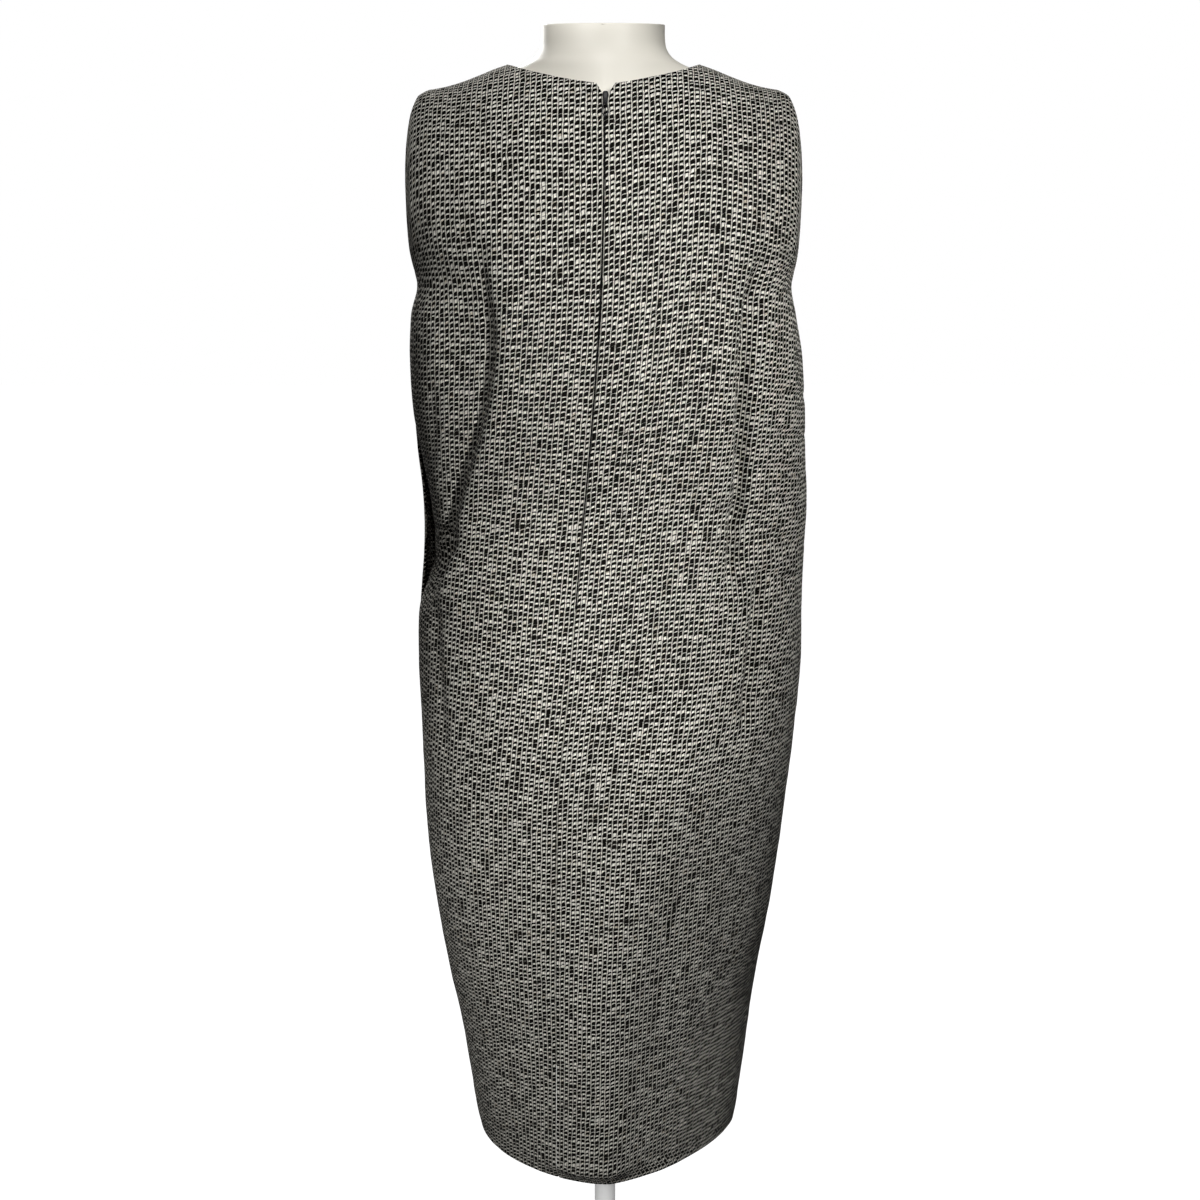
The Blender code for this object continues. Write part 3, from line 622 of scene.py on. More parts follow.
def draw_back(points, height, edge, column):
    """Draws the columns at an edge back from the seam's line."""
    inward = 1 if column == 0 else -1
    back = CLOSED + (ZIP_OPEN - CLOSED) * (zipped(height[:, column]) if edge == "centre" else 0.0)
    toward = points[:, column + inward] - points[:, column]
    toward /= np.maximum(np.linalg.norm(toward, axis=-1, keepdims=True), 1e-9)
    sewn = (edge == "centre") | (height[:, column] < UNDERARM + 0.001)
    step = np.where(sewn, back, 0.0)
    for offset in range(DRAWN_COLUMNS):
        part = (step * (1 - offset / DRAWN_COLUMNS))[:, None]
        points[:, column + inward * offset] += toward * part


def make_panel(name, side, start, end, columns, width, rows, seed):
    parts = fine_shares(columns, width, ("start", "end"))
    low_rows, high_rows = rows
    lows = fine_shares(low_rows, UNDERARM - HEM, ("start",))
    levels = np.concatenate([lows, 1 + np.linspace(0, 1, high_rows + 1)[1:]])
    across, height = panel_places(side, start, end, parts, levels)
    uv = grain(side, across, height)
    points = cloth(side, across, height)
    out = normals(points)
    facing = 1.0 if side == "back" else -1.0
    middle = out[len(levels) // 2, len(parts) // 2, 1]
    out = out * (1.0 if middle * facing > 0 else -1.0)
    moved = fold_depth(CREASES, side, across, height) + drag_depth(side, across, height)
    edges = (start, end)
    fixed = edges.index("centre") if "centre" in edges else 0.5
    uv[..., 0] += taken_in(side, across, height, points + out * moved[..., None], fixed)
    # uneven swells, fainter where the cloth lies on the shoulder, and no trough into the form
    swell = sum(ripples(points, seed + further, *sizes) for further, sizes in SWELLS)
    shoulder = np.clip((ridge(across) - height) / SHOULDER_LIES, 0, 1)
    moved = moved + swell * (0.25 + 0.75 * shoulder)
    moved = np.where(shoulder < 1, np.maximum(moved, -0.0002 - 0.004 * shoulder), moved)
    along = running(points, 1)
    for edge, distance in ((start, along), (end, along[:, -1:] - along)):
        if edge == "centre":
            moved = centre_relief(moved, distance, height)
        else:
            moved = moved + side_relief(distance, height)
    over_shoulder = np.abs(across[-1:, :] - UPPER_SHIFT) > NECK_POINT
    moved = moved + end_relief(points, over_shoulder)
    if side == "front":
        moved = moved + dart_relief(across, height)
    points = points + out * moved[..., None]
    draw_back(points, height, start, 0)
    draw_back(points, height, end, -1)
    for row, back in ((-1, 0.0004), (-2, 0.0002)):
        points[row, :, 1] += np.where(over_shoulder[0], back * facing, 0.0)
    return sheet_piece(name, blunt_neck(points), out, uv)


def add_piece(name, data):
    piece = bpy.data.objects.new(name, data)
    bpy.context.scene.collection.objects.link(piece)
    return piece


def new_mesh(name, points, faces):
    mesh = bpy.data.meshes.new(name)
    mesh.from_pydata(points, [], faces)
    return mesh


def smooth_piece(mesh, sharp):
    """A mesh as a piece, smooth but for edges that turn by more than an angle."""
    mesh.shade_smooth()
    mesh.set_sharp_from_angle(angle=math.radians(sharp))
    return add_piece(mesh.name, mesh)


def turned_out(shape, mesh, sharp):
    """The same for a bmesh, its faces turned outward."""
    bmesh.ops.recalc_face_normals(shape, faces=shape.faces)
    shape.to_mesh(mesh)
    shape.free()
    return smooth_piece(mesh, sharp)


def add_bevel(piece, name, width, segments):
    edge = piece.modifiers.new(name, "BEVEL")
    edge.width = width
    edge.segments = segments
    edge.limit_method = "ANGLE"
    edge.angle_limit = math.radians(50)


def grid_faces(index, wrapped):
    """Squares between a grid's points, whose last column may join its first."""
    after = np.roll(index, -1, axis=1)
    if not wrapped:
        index, after = index[:, :-1], after[:, :-1]
    return np.stack([index[:-1], after[:-1], after[1:], index[1:]], axis=-1).reshape(-1, 4)


def numbered(grid):
    """The number of each point of a grid."""
    return np.arange(grid[..., 0].size).reshape(grid.shape[:2])


def capped_faces(rings):
    """The faces of a stack of rings, with one across each end."""
    index = numbered(rings)
    return grid_faces(index, True).tolist() + [index[0][::-1].tolist(), index[-1].tolist()]


def sheet_piece(name, points, out, uv):
    """A panel's outside as a mesh with its grain, given the cloth's thickness."""
    quads = grid_faces(numbered(points), False)
    middle = quads[len(quads) // 2]
    flat = points.reshape(-1, 3)
    first = np.cross(flat[middle[1]] - flat[middle[0]], flat[middle[3]] - flat[middle[0]])
    if first @ out.reshape(-1, 3)[middle[0]] < 0:
        quads = quads[:, ::-1]
    mesh = new_mesh(name, flat.tolist(), quads.tolist())
    corners = uv.reshape(-1, 2)[quads.reshape(-1)]
    layer = mesh.uv_layers.new(name="grain")
    layer.data.foreach_set("uv", corners.reshape(-1).astype(np.float32))
    mesh.shade_smooth()
    piece = add_piece(name, mesh)
    wall = piece.modifiers.new("Wall", "SOLIDIFY")
    wall.thickness = CLOTH
    wall.offset = -1.0
    wall.use_even_offset = False
    wall.use_rim = True
    add_bevel(piece, "Turned edge", 0.0006, 2)
    return piece


# ------------------------------------------------------------ materials
class Wire:
    """A value in a material's nodes, on which sums can be written plainly."""

    def __init__(self, tree, socket):
        self.tree = tree
        self.socket = socket

    def sum(self, operation, *others, clamp=False):
        values = dict(enumerate((self, *others)))
        node = add_node(self.tree, "Math", values, operation=operation, use_clamp=clamp)
        return Wire(self.tree, node.outputs[0])

    def __add__(self, other):
        return self.sum("ADD", other)

    def __sub__(self, other):
        return self.sum("SUBTRACT", other)

    def __mul__(self, other):
        return self.sum("MULTIPLY", other)

    def __truediv__(self, other):
        return self.sum("DIVIDE", other)

    def __rsub__(self, other):
        return (self * -1.0) + other

    __radd__ = __add__
    __rmul__ = __mul__

    def floor(self):
        return self.sum("FLOOR")

    def part(self):
        return self.sum("FRACT")

    def size(self):
        return self.sum("ABSOLUTE")

    def most(self, other):
        return self.sum("MAXIMUM", other)

    def clamp(self):
        return self.sum("ADD", 0.0, clamp=True)

    def step(self, low, high):
        """0 below low, 1 above high and smooth between; the other way round if high is less."""
        bounds = (low, high, 0.0, 1.0) if low < high else (high, low, 1.0, 0.0)
        names = ("Value", "From Min", "From Max", "To Min", "To Max")
        values = dict(zip(names, (self, *bounds)))
        node = add_node(self.tree, "MapRange", values, interpolation_type="SMOOTHSTEP")
        return Wire(self.tree, node.outputs["Result"])


def give(tree, value, socket):
    """Links a wire or a node's output to a socket, or sets the socket's own value."""
    if isinstance(value, Wire):
        value = value.socket
    if isinstance(value, bpy.types.NodeSocket):
        tree.links.new(value, socket)
    elif socket.type == "RGBA":
        socket.default_value = (*value, 1.0)
    else:
        socket.default_value = value


def add_node(tree, kind, values, **settings):
    node = tree.nodes.new("ShaderNode" + kind)
    for key, value in settings.items():
        setattr(node, key, value)
    for place, value in values.items():
        give(tree, value, node.inputs[place])
    return node


def vector(tree, *places):
    return add_node(tree, "CombineXYZ", dict(enumerate(places))).outputs[0]


def split(tree, place):
    return [Wire(tree, output) for output in add_node(tree, "SeparateXYZ", {0: place}).outputs]


def noise(tree, where, scale=1.0, detail=0.0, rough=0.5):
    values = {"Scale": scale, "Detail": detail, "Roughness": rough, "Vector": where}
    return Wire(tree, add_node(tree, "TexNoise", values).outputs[0])


def chance(tree, where):
    """Three even random values for each whole place."""
    node = add_node(tree, "TexWhiteNoise", {"Vector": where}, noise_dimensions="3D")
    colour = add_node(tree, "SeparateColor", {0: node.outputs["Color"]})
    return [Wire(tree, output) for output in colour.outputs[:3]]


def mixed(tree, share, first, second):
    values = {0: share, 6: first, 7: second}
    return add_node(tree, "Mix", values, data_type="RGBA", clamp_factor=True).outputs[2]


def scaled(tree, colour, by):
    """A colour made lighter or darker by a wire."""
    return add_node(tree, "VectorMath", {0: colour, "Scale": by}, operation="SCALE").outputs[0]


def new_material(name, roughness, metallic=0.0, **sockets):
    made = bpy.data.materials.new(name)
    made.use_nodes = True
    shader = made.node_tree.nodes["Principled BSDF"]
    sockets.update(Roughness=roughness, Metallic=metallic)
    for key, value in sockets.items():
        give(made.node_tree, value, shader.inputs[key.replace("_", " ")])
    return made, made.node_tree, shader


def add_bump(tree, shader, height, distance, strength):
    values = {"Distance": distance, "Strength": strength, "Height": height}
    give(tree, add_node(tree, "Bump", values).outputs["Normal"], shader.inputs["Normal"])


def paint(tree, shader, colour):
    give(tree, colour, shader.inputs["Base Color"])


COLUMN = 0.00465  # from one off-white warp yarn to the next
ROW = 0.00472  # from one row of black floats to the next
WHITE = (0.90, 0.87, 0.79)
WARP = (0.80, 0.775, 0.690)
BLACK = (0.0036, 0.0032, 0.0022)
TAN = (0.42, 0.33, 0.21)


def tweed_material():
    made, tree, shader = new_material(
        "tweed", 0.92, Sheen_Weight=0.006, Sheen_Roughness=0.6, Specular_IOR_Level=0.02
    )
    u, v, _ = split(tree, add_node(tree, "UVMap", {}, uv_map="grain").outputs[0])
    u, v = u / COLUMN, v / ROW
    # the yarns wander a little, over many cells and within each
    wide = noise(tree, vector(tree, u * 0.05, v * 0.03, 1.0)) - 0.5
    close = noise(tree, vector(tree, u * 0.9, v * 0.55, 3.0)) - 0.5
    across = u + wide * 0.7 + close * 0.34
    wide = noise(tree, vector(tree, u * 0.06, v * 0.04, 7.0)) - 0.5
    close = noise(tree, vector(tree, u * 0.6, v * 0.9, 11.0)) - 0.5
    up = v + wide * 0.9 + close * 0.55
    column, in_column = across.floor(), across.part()
    of_column = chance(tree, vector(tree, column, 0.5, 2.0))[0]
    slanted = up + of_column * 0.32 - in_column * 0.36
    row, in_row = slanted.floor(), slanted.part()
    one, two, three = chance(tree, vector(tree, column, row, 5.0))
    # the upright yarn between two columns, which is never covered
    middle = in_column - 0.5
    from_rail = 0.5 - middle.size()
    rail = from_rail.step(0.128, 0.080)
    # the black float: slanted, arched and uneven in size
    bow = middle * middle
    lie = (in_row - 0.53 + bow * 0.55 + (one - 0.5) * 0.19).size()
    mottle = noise(tree, vector(tree, u * 0.44, v * 0.85, 40.0)) - 0.5
    low = v.step(1.12 / ROW, 0.86 / ROW)
    uneven = mottle * (low * 0.16 + 0.24) + (two - 0.5) * 0.17
    half = uneven + low * 0.010 + 0.334 - bow * 0.20 - one.step(0.975, 0.985) * 0.12
    float_share = (lie - half).step(0.045, -0.045)
    # painted shade: a dark line between the upright yarn and the white float, where one shades the
    # other, on one side or the other
    gap_shade = (from_rail - 0.185).size().step(0.10, 0.05)
    on_right = middle.step(-0.01, 0.01)
    strong = on_right * three.step(0.25, 0.75) + (1.0 - on_right) * three.step(0.75, 0.25)
    gap_shade = gap_shade * (strong * 0.30 + 0.70)
    # slubs: short runs where a row is mostly black
    slub = noise(tree, vector(tree, across * 0.22, row * 3.7, 20.0)).step(0.67, 0.78)
    covered = rail * (1.0 - float_share * (low * 0.10 + 0.40) - slub * 0.32)
    # the black floats, the slubs and the painted shade beside the upright yarn all take the black
    # yarn's colour
    black = (float_share.most(gap_shade) + slub * 0.40).clamp() * (1.0 - covered)
    fibre = noise(tree, vector(tree, across * 7.0, up * 4.5, 0.0), detail=2.0, rough=0.7)
    cloud = noise(tree, vector(tree, u * 0.035, v * 0.035, 30.0), detail=2.0) - 0.5
    tone = fibre * 0.7 + 0.68 + (two - 0.5) * 0.40 + cloud * 0.12
    tinted = three.step(0.95, 0.97) * 0.55
    white = scaled(tree, mixed(tree, tinted, WHITE, TAN), tone)
    upright = scaled(tree, WARP, fibre * 0.6 + 0.7)
    light = mixed(tree, rail, white, upright)
    dark = scaled(tree, BLACK, fibre * 1.6 + 0.3)
    paint(tree, shader, mixed(tree, black, light, dark))
    # relief: the white floats are round and stand out, the black ones lie low
    crown = (1.0 - bow * 3.0) * (1.0 - float_share)
    height = crown * (1.0 - rail) * 0.6 + rail * 0.5 + fibre * 0.16
    add_bump(tree, shader, height, 0.0006, 0.8)
    return made


def plain_material(name, roughness, metallic=0.0, **sockets):
    """A new material with where its points are on the object."""
    made, tree, shader = new_material(name, roughness, metallic, **sockets)
    return made, tree, shader, add_node(tree, "TexCoord", {}).outputs["Object"]


def plastic_material():
    made, tree, shader, place = plain_material("form", 0.46)
    cloud = noise(tree, place, 9.0, 3.0) - 0.5
    paint(tree, shader, scaled(tree, (0.930, 0.892, 0.790), cloud * 0.04 + 1.0))
    grainy = noise(tree, place, 900.0, 2.0)
    orange = noise(tree, place, 120.0, 1.0)
    add_bump(tree, shader, grainy * 0.35 + orange, 0.00012, 0.5)
    return made


def powder_material():
    made, tree, shader, place = plain_material("stand", 0.42)
    dust = noise(tree, place, 14.0, 4.0) - 0.5
    paint(tree, shader, scaled(tree, (0.83, 0.83, 0.82), dust * 0.05 + 1.0))
    add_bump(tree, shader, noise(tree, place, 1400.0, 2.0), 0.00010, 0.6)
    return made


def enamel_material():
    made, tree, shader, place = plain_material(
        "zip_metal", 0.36, 0.35, Coat_Weight=0.15, Coat_Roughness=0.2
    )
    worn = noise(tree, place, 900.0, 3.0)
    black, bare = (0.007, 0.007, 0.008), (0.030, 0.030, 0.031)
    paint(tree, shader, mixed(tree, worn.step(0.62, 0.78), black, bare))
    add_bump(tree, shader, worn, 0.00004, 0.5)
    return made


def tape_material():
    made, tree, shader, place = plain_material("zip_tape", 0.85, Specular_IOR_Level=0.1)
    x, _, z = split(tree, place)
    rib = (z / 0.0006).part() - 0.5
    herring = (x / 0.0008).part() - 0.5
    thread = rib.size() + herring.size()
    paint(tree, shader, scaled(tree, (0.006, 0.006, 0.006), thread * 0.8 + 0.6))
    add_bump(tree, shader, thread, 0.00015, 0.8)
    return made


# ------------------------------------------------------------ the form
TRUNK = (
    # height, half width, back, front and squareness
    (0.765, 0.1430, 0.0760, -0.0900, 2.20),
    (0.772, 0.1500, 0.0840, -0.0980, 2.20),
    (0.800, 0.1590, 0.0900, -0.1040, 2.25),
    (0.860, 0.1680, 0.0965, -0.1090, 2.30),
    (0.920, 0.1705, 0.0980, -0.1090, 2.30),
    (0.980, 0.1680, 0.0900, -0.1040, 2.30),
    (1.040, 0.1570, 0.0750, -0.0950, 2.25),
    (1.100, 0.1440, 0.0620, -0.0860, 2.20),
    (1.150, 0.1410, 0.0600, -0.0860, 2.20),
    (1.200, 0.1470, 0.0700, -0.0990, 2.20),
    (1.250, 0.1540, 0.0800, -0.1140, 2.25),
    (1.300, 0.1560, 0.0870, -0.1110, 2.30),
    (1.345, 0.1520, 0.0900, -0.1020, 2.35),
    (1.385, 0.1510, 0.0900, -0.0900, 2.35),
    (1.420, 0.1530, 0.0875, -0.0800, 2.35),
)
Ring = namedtuple("Ring", "half_width end_height middle_height back front square")
NECK = (
    (0.1550, 1.4450, 1.4420, 0.0850, -0.0730, 2.25),
    (0.1555, 1.4650, 1.4560, 0.0810, -0.0650, 2.10),
    (0.1530, 1.4830, 1.4680, 0.0765, -0.0590, 1.90),
    (0.1470, 1.4935, 1.4765, 0.0720, -0.0530, 1.70),
    (0.1350, 1.5013, 1.4840, 0.0680, -0.0495, 1.55),
    (0.1150, 1.5072, 1.4920, 0.0645, -0.0475, 1.50),
    (0.0960, 1.5142, 1.5005, 0.0610, -0.0460, 1.50),
    (0.0800, 1.5185, 1.5100, 0.0580, -0.0470, 1.65),
    (0.0690, 1.5222, 1.5180, 0.0555, -0.0490, 1.90),
    (0.0600, 1.5275, 1.5255, 0.0530, -0.0485, 2.00),
    (0.0545, 1.5350, 1.5335, 0.0515, -0.0485, 2.05),
    (0.0530, 1.5440, 1.5430, 0.0510, -0.0480, 2.05),
)
NECK_TOP = 1.5550
NECK_TOP_SLOPE = -0.128
NECK_TOP_RING = Ring(0.0528, NECK_TOP, NECK_TOP, 0.0505, -0.0480, 2.05)
FORM_AROUND = 160
FORM_STEPS = 5
CAP_SHARES = (0.985, 0.90, 0.6, 0.3, 0.06)


def form_ring(ring, shift):
    angle = np.linspace(0, 2 * math.pi, FORM_AROUND, endpoint=False)
    cosine, sine = np.cos(angle), np.sin(angle)
    power = 2 / ring.square
    across = ring.half_width * np.copysign(np.abs(cosine) ** power, cosine)
    depth = np.where(sine > 0, ring.back, -ring.front) * np.copysign(np.abs(sine) ** power, sine)
    rise = (across / ring.half_width) ** 2
    height = ring.middle_height + (ring.end_height - ring.middle_height) * rise
    return np.stack([across + shift, depth, height], axis=-1)


def curved(before, low, high, after, steps):
    """Points from low towards high, on a curve that runs smoothly from before to after."""
    found = []
    for step in range(steps):
        part = step / steps
        square = (2 * before - 5 * low + 4 * high - after) * part**2
        cube = (3 * low - before - 3 * high + after) * part**3
        found.append(0.5 * (2 * low + (high - before) * part + square + cube))
    return found


def make_form():
    """The trunk and its neck, smooth between the same rings as the solid's."""
    rings = []
    for height, half_width, back, front, square in TRUNK:
        rings.append(form_ring(Ring(half_width, height, height, back, front, square), 0.0))
    for row in NECK:
        rings.append(form_ring(Ring(*row), UPPER_SHIFT))
    top = form_ring(NECK_TOP_RING, UPPER_SHIFT)
    top[:, 2] = NECK_TOP + NECK_TOP_SLOPE * top[:, 1]
    rings.append(top)
    last = len(rings) - 1
    fine = []
    for index in range(last):
        before, after = rings[max(index - 1, 0)], rings[min(index + 2, last)]
        fine.extend(curved(before, rings[index], rings[index + 1], after, FORM_STEPS))
    fine.append(top)
    # caps: rings that shrink to the middle, flat
    low_middle, high_middle = fine[0].mean(0), top.mean(0)
    low_cap = [low_middle + (fine[0] - low_middle) * share for share in reversed(CAP_SHARES)]
    high_cap = [high_middle + (top - high_middle) * share for share in CAP_SHARES]
    rings = np.array([*low_cap, *fine, *high_cap])
    mesh = new_mesh("form_body", rings.reshape(-1, 3).tolist(), capped_faces(rings))
    piece = smooth_piece(mesh, 50)
    add_bevel(piece, "Edge", 0.0012, 3)
    return piece


# ------------------------------------------------------------ the stand
STAND = (
    # each piece's name, node, radius, rounded edge and steps round
    ("base_plate", "stand_base", 0.200, 0.0040, 160),
    ("base_collar", "stand_collar", 0.024, 0.0030, 96),
    ("pole", "stand_pole", 0.011, 0.0006, 96),
    ("pole_socket", "stand_socket", 0.020, 0.0015, 96),
)


def turned(name, profile, steps):
    outline = bmesh.new()
    points = [outline.verts.new((radius, 0.0, height)) for radius, height in profile]
    for upper, lower in zip(points, points[1:]):
        outline.edges.new((upper, lower))
    bmesh.ops.spin(
        outline, geom=outline.verts[:] + outline.edges[:], axis=(0, 0, 1), cent=(0, 0, 0),
        angle=2 * math.pi, steps=steps, use_merge=True,
    )
    bmesh.ops.remove_doubles(outline, verts=outline.verts, dist=0.00001)
    return turned_out(outline, bpy.data.meshes.new(name), 35)


def rounded(radius, low, top, edge, steps=5):
    """A rod's outline from the middle of its top, its top edge rounded."""
    profile = [(0.0, top)]
    for step in range(steps + 1):
        angle = math.pi / 2 * step / steps
        out, up = edge * math.sin(angle), edge * math.cos(angle)
        profile.append((radius - edge + out, top - edge + up))
    small = min(edge, 0.0006)
    return profile + [(radius, low + small), (radius - small, low), (0.0, low)]


def make_stand():
    for name, node, radius, edge, steps in STAND:
        low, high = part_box(node)
        piece = turned(name, rounded(radius, low.z, high.z, edge), steps)
        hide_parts(node)
        finish_piece(piece, MATERIAL["stand"], STILL)


# ------------------------------------------------------------ the zip
def seam_frame(height):
    """A point on the centre seam with the ways up it, out of the cloth and along the cloth."""
    place, above, below = (
        cloth("back", centre_seam(at), at)
        for at in (height, height + SLANT_REACH, height - SLANT_REACH)
    )
    up = (above - below) / np.linalg.norm(above - below)
    out = np.cross(up, (1.0, 0.0, 0.0))
    out /= np.linalg.norm(out)
    if out[1] < 0:
        out = -out
    return place, up, out, np.cross(up, out)


# a box's corners, the lower four first
CORNERS = np.array([
    (x, y, z) for z in (-1, 1) for x, y in ((-1, -1), (1, -1), (1, 1), (-1, 1))
])
BOX_FACES = ((0, 3, 2, 1), (4, 5, 6, 7), (0, 1, 5, 4), (1, 2, 6, 5), (2, 3, 7, 6), (3, 0, 4, 7))
COIL_TOP, COIL_PITCH = 1.4840, 0.0012
COIL_DEEP = 0.00125  # below the cloth's outside
TOOTH = (0.00042, 0.00045, 0.00034)  # half its size along, out and across
TOOTH_ASIDE, TOOTH_SLANT = 0.00012, 0.30


def make_coil():
    """The closed coil in the seam's groove, a row of small teeth from each side."""
    points, faces = [], []
    for tooth in range(int((COIL_TOP - ZIP_END) / COIL_PITCH)):
        place, up, out, sideways = seam_frame(ZIP_END + COIL_PITCH * (tooth + 0.5))
        sign = 1 if tooth % 2 else -1
        centre = place - out * COIL_DEEP + sideways * sign * TOOTH_ASIDE
        lean = up * TOOTH_SLANT * sign + sideways
        lean /= np.linalg.norm(lean)
        axes = np.array((lean, out, np.cross(lean, out)))
        start = len(points)
        points.extend((centre + CORNERS * TOOTH @ axes).tolist())
        faces.extend([tuple(start + corner for corner in face) for face in BOX_FACES])
    piece = add_piece("zip_coil", new_mesh("zip_coil", points, faces))
    edge = piece.modifiers.new("Edge", "BEVEL")
    edge.width = 0.00012
    edge.segments = 1
    return piece


SLIDER_MIDDLE = 1.4860
SLIDER_HALF = 0.0027  # half its width at its upper end
SLIDER_TAPER = 0.72
SLIDER_LENGTH = 0.0110
SLIDER_AROUND, SLIDER_SQUARE = 48, 0.62
# how far out each layer stands, and its size as a share: two plates with a groove between
SLIDER_LAYERS = (
    (0.00060, 0.80), (0.00070, 0.95), (0.00090, 1.00), (0.00130, 1.00),
    (0.00142, 0.84), (0.00185, 0.84), (0.00197, 1.00), (0.00255, 1.00),
    (0.00285, 0.95), (0.00302, 0.80), (0.00306, 0.40),
)
BRIDGE_WIRE, BRIDGE_STEPS = 0.00048, 12
PULL_PIVOT = 1.4818
PULL_OUT = 0.0041
PULL_LEAN = 13.0
PULL_WIRE = 0.00046
# half the pull's loop in millimetres, from the middle of its upper bar to its lowest point
PULL_LOOP = (
    (0.0, 0.0), (0.9, 0.05), (1.40, 0.6), (1.55, 2.2), (2.00, 4.6),
    (2.45, 7.2), (2.40, 9.4), (1.50, 11.0), (0.0, 11.7),
)


def tube(path, radius, closed, around=10):
    """A round wire along a path of points."""
    path = np.array(path, float)
    if closed:
        way = np.roll(path, -1, axis=0) - np.roll(path, 1, axis=0)
        normal = np.cross(path[len(path) // 4] - path[0], path[len(path) // 2] - path[0])
        normal /= np.linalg.norm(normal)
    else:
        way = np.gradient(path, axis=0)
    way /= np.linalg.norm(way, axis=1, keepdims=True)
    if not closed:
        normal = np.cross(way[0], way[len(way) // 3])
    side = np.cross(way, normal)
    side /= np.linalg.norm(side, axis=1, keepdims=True)
    other = np.cross(way, side)
    turn = np.linspace(0, 2 * math.pi, around, endpoint=False)[None, :, None]
    rings = path[:, None] + radius * (side[:, None] * np.cos(turn) + other[:, None] * np.sin(turn))
    if closed:
        index = numbered(rings)
        return rings.reshape(-1, 3), grid_faces(np.concatenate([index, index[:1]]), True).tolist()
    return rings.reshape(-1, 3), capped_faces(rings)


def smooth_path(points, steps=5):
    """A closed curve through points."""
    points = np.array(points, float)
    before, after, beyond = (np.roll(points, by, axis=0) for by in (1, -1, -2))
    return np.stack(curved(before, points, after, beyond, steps), axis=1).reshape(-1, 2)


def joined_piece(name, parts):
    points, faces = [], []
    for own_points, own_faces in parts:
        start = len(points)
        points.extend(tuple(point) for point in own_points)
        faces.extend([tuple(start + corner for corner in face) for face in own_faces])
    mesh = new_mesh(name, points, faces)
    shape = bmesh.new()
    shape.from_mesh(mesh)
    return turned_out(shape, mesh, 40)


def make_slider():
    """The slider's two plates, and the bridge over its pull."""
    place, up, out, sideways = seam_frame(SLIDER_MIDDLE)
    turn = np.linspace(0, 2 * math.pi, SLIDER_AROUND, endpoint=False)
    across, along = (
        np.copysign(np.abs(wave) ** SLIDER_SQUARE, wave) for wave in (np.cos(turn), np.sin(turn))
    )
    width = SLIDER_HALF * (1 + SLIDER_TAPER + (1 - SLIDER_TAPER) * along) / 2
    # waisted below its shoulders, as sliders are
    width = width * (1 - 0.10 * bell(along + 0.25, 0.35))
    layers = []
    for far, share in SLIDER_LAYERS:
        inset = (1 - share) * SLIDER_HALF
        flat = sideways * (across * np.maximum(width - inset, 0.0001))[:, None]
        flat = flat + up * (along * (SLIDER_LENGTH / 2 - inset))[:, None]
        layers.append(place + out * far + flat)
    layers = np.array(layers)
    pivot, up, out, _ = seam_frame(PULL_PIVOT)
    arch = []
    for step in range(BRIDGE_STEPS + 1):
        angle = math.pi * step / BRIDGE_STEPS
        rise = up * (0.0006 + 0.0030 * math.cos(angle))
        arch.append(pivot + rise + out * (0.0026 + 0.0029 * math.sin(angle) ** 0.8))
    plates = (layers.reshape(-1, 3), capped_faces(layers))
    return joined_piece("slider", [plates, tube(arch, BRIDGE_WIRE, False)])


def make_pull():
    """The wire loop that hangs from the slider's bridge, leaning on the cloth."""
    place, up, out, sideways = seam_frame(PULL_PIVOT)
    lean = math.radians(PULL_LEAN)
    down = -up * math.cos(lean) - out * math.sin(lean)
    loop = [*PULL_LOOP, *[(-x, y) for x, y in PULL_LOOP[-2:0:-1]]]
    hung = place + out * PULL_OUT
    path = [hung + sideways * x / 1000 + down * y / 1000 for x, y in smooth_path(loop)]
    return joined_piece("pull_loop", [tube(path, PULL_WIRE, True)])


def finish_piece(piece, material, body):
    piece.data.materials.clear()
    piece.data.materials.append(material)
    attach(piece, body)


# ------------------------------------------------------------ the camera comes first
CAMERA_TILT = 14.1
CAMERA_PLACE = (0.0, 1.247, 1.358)
PICTURE_WIDTH = 1200
camera_data = bpy.data.cameras.new("camera")
camera_data.lens = 40.5
camera_data.sensor_width = 36.0
camera_data.shift_x = -5 / PICTURE_WIDTH
camera_data.clip_start = 0.02
camera_data.clip_end = 100.0
camera = add_piece("camera", camera_data)
camera.location = CAMERA_PLACE
camera.rotation_euler = (math.radians(90 - CAMERA_TILT), 0.0, math.radians(180))
bpy.context.scene.camera = camera

MATERIAL = {
    "tweed": tweed_material(),
    "form": plastic_material(),
    "stand": powder_material(),
    "zip": enamel_material(),
    "tape": tape_material(),
}

# each panel's columns, width in metres, rows below and above the underarm, and seed
left = make_panel("back_left_cloth", "back", "left", "centre", 124, 0.235, (250, 74), 3)
right = make_panel("back_right_cloth", "back", "centre", "right", 124, 0.235, (250, 74), 5)
front = make_panel("front_cloth", "front", "right", "left", 158, 0.470, (210, 62), 8)
for piece, node in ((left, "dress_back_left"), (right, "dress_back_right"), (front, "dress_front")):
    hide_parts(node)
    finish_piece(piece, MATERIAL["tweed"], STILL)

form = make_form()
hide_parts("form_trunk")
finish_piece(form, MATERIAL["form"], STILL)
make_stand()

coil = make_coil()
finish_piece(coil, MATERIAL["tape"], STILL)
tape_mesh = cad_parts["zip_tape"].data
tape_mesh.materials.clear()
tape_mesh.materials.append(MATERIAL["tape"])
for piece, node, body in ((make_slider(), "zip_slider", STILL), (make_pull(), "zip_pull", MOVING)):
    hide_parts(node)
    finish_piece(piece, MATERIAL["zip"], body)


# ------------------------------------------------------------ floor and light
PURE, FLOOR_GREY = (1.0, 1.0, 1.0), (0.20, 0.20, 0.20)
FLOOR_GLOW = 1.0
FLOOR_REACH = 14.0
WORLD_FILL = 0.03
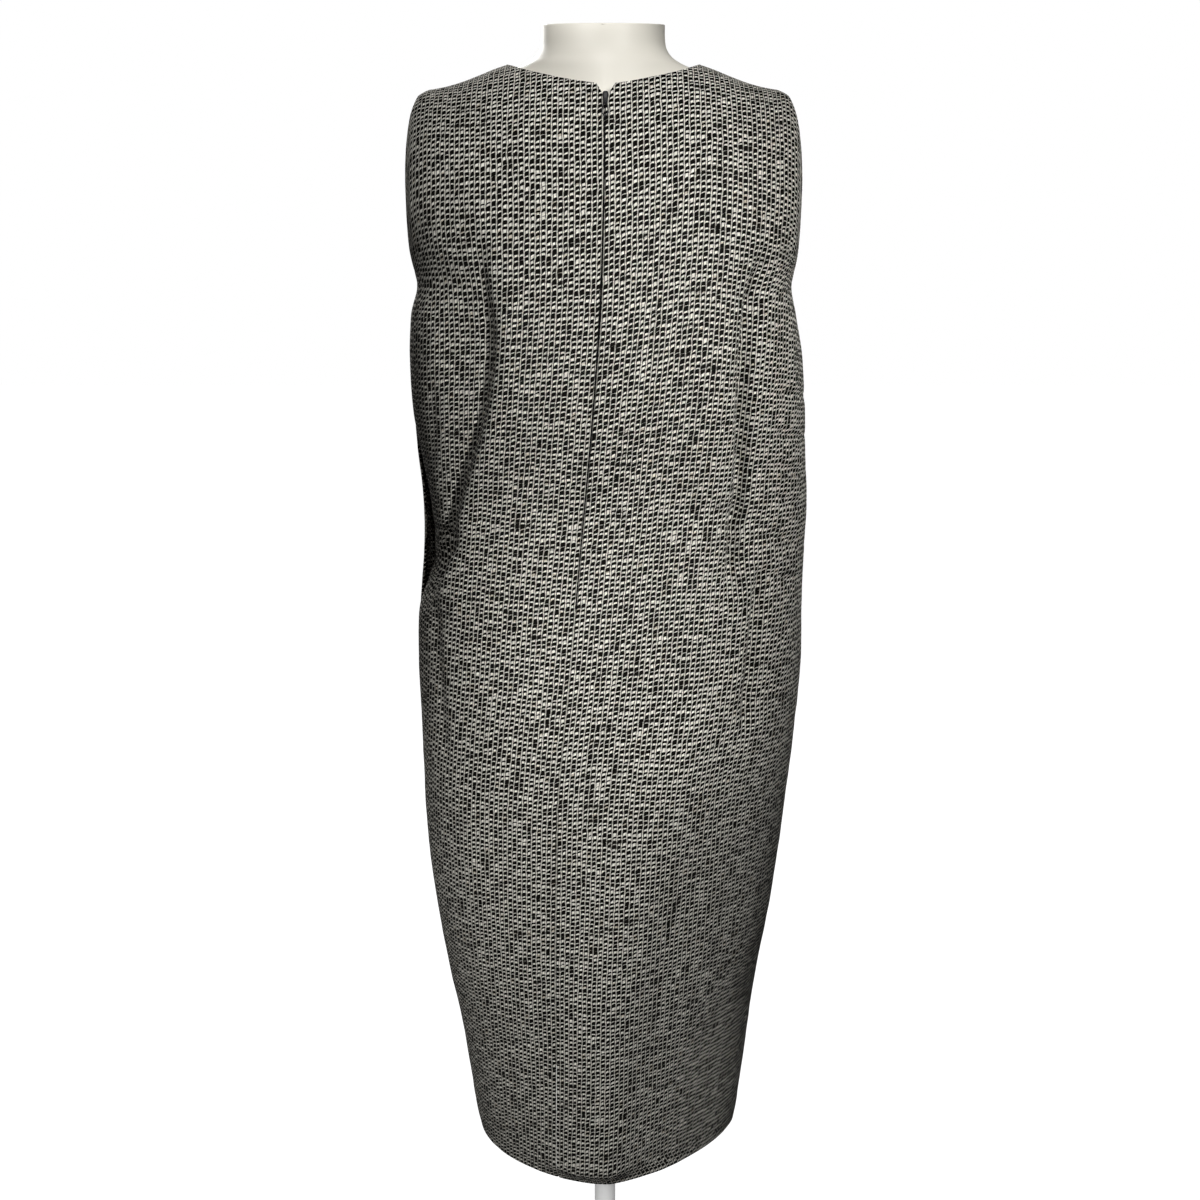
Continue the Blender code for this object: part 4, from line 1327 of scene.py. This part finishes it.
# size is a disk's width in metres, or a spot's cone in degrees; soft is a spot's own width
Lamp = namedtuple("Lamp", "name kind place target size power soft")
RIGHT_KEY, LEFT_KEY, HIGH_KEY = (-1.35, 2.2, 2.3), (1.0, 2.3, 2.3), (0.0, 1.5, 3.2)
BACK_LAMPS = (
    # where each stands, the height that it is aimed at, and its power
    ("key_1", RIGHT_KEY, 1.46, 60.0),
    ("key_2", RIGHT_KEY, 1.28, 156.0),
    ("key_3", RIGHT_KEY, 1.07, 136.0),
    ("fill_1", LEFT_KEY, 1.46, 38.0),
    ("fill_2", LEFT_KEY, 0.88, 35.0),
    ("fill_3", LEFT_KEY, 0.66, 99.0),
    ("high_1", HIGH_KEY, 1.46, 77.0),
    ("high_2", HIGH_KEY, 0.66, 200.0),
)
LAMPS = [
    Lamp(name, "SPOT", place, (0.0, 0.08, height), 13.0, power, 0.10)
    for name, place, height, power in BACK_LAMPS
] + [
    Lamp("neck", "SPOT", (1.4, 2.0, 2.5), (0.0, 0.0, 1.660), 6.5, 380.0, 0.03),
    Lamp("under_hem", "SPOT", (0.0, 1.6, 0.34), (0.0, 0.0, 0.34), 8.0, 60.0, 0.03),
    Lamp("front", "AREA", (0.8, -2.3, 2.4), (0.0, 0.0, 1.0), 1.4, 60.0, 0.0),
]


def add_stage():
    corners = (CORNERS[:4] * (FLOOR_REACH, FLOOR_REACH, 0)).tolist()
    mesh = new_mesh("floor", corners, [(0, 1, 2, 3)])
    floor = add_piece("floor", mesh)
    made, _, _ = new_material(
        "floor", 0.8, Base_Color=FLOOR_GREY, Emission_Color=PURE, Emission_Strength=FLOOR_GLOW
    )
    mesh.materials.append(made)
    floor.visible_diffuse = False


def add_lamp(lamp):
    data = bpy.data.lights.new(lamp.name, lamp.kind)
    data.energy = lamp.power
    if lamp.kind == "SPOT":
        data.spot_size = math.radians(lamp.size)
        data.spot_blend = 1.0
        data.shadow_soft_size = lamp.soft
    else:
        data.shape = "DISK"
        data.size = lamp.size
    light = add_piece(lamp.name, data)
    light.location = lamp.place
    toward = Vector(lamp.target) - Vector(lamp.place)
    light.rotation_euler = toward.to_track_quat("-Z", "Y").to_euler()


def add_world():
    world = bpy.data.worlds.new("studio")
    world.use_nodes = True
    bpy.context.scene.world = world
    tree = world.node_tree
    background = tree.nodes["Background"]
    give(tree, PURE, background.inputs["Color"])
    rays = add_node(tree, "LightPath", {})
    seen = Wire(tree, rays.outputs["Is Camera Ray"]) * (1.0 - WORLD_FILL) + WORLD_FILL
    give(tree, seen, background.inputs["Strength"])


add_stage()
for lamp in LAMPS:
    add_lamp(lamp)
add_world()
bpy.context.scene.view_settings.view_transform = "Standard"
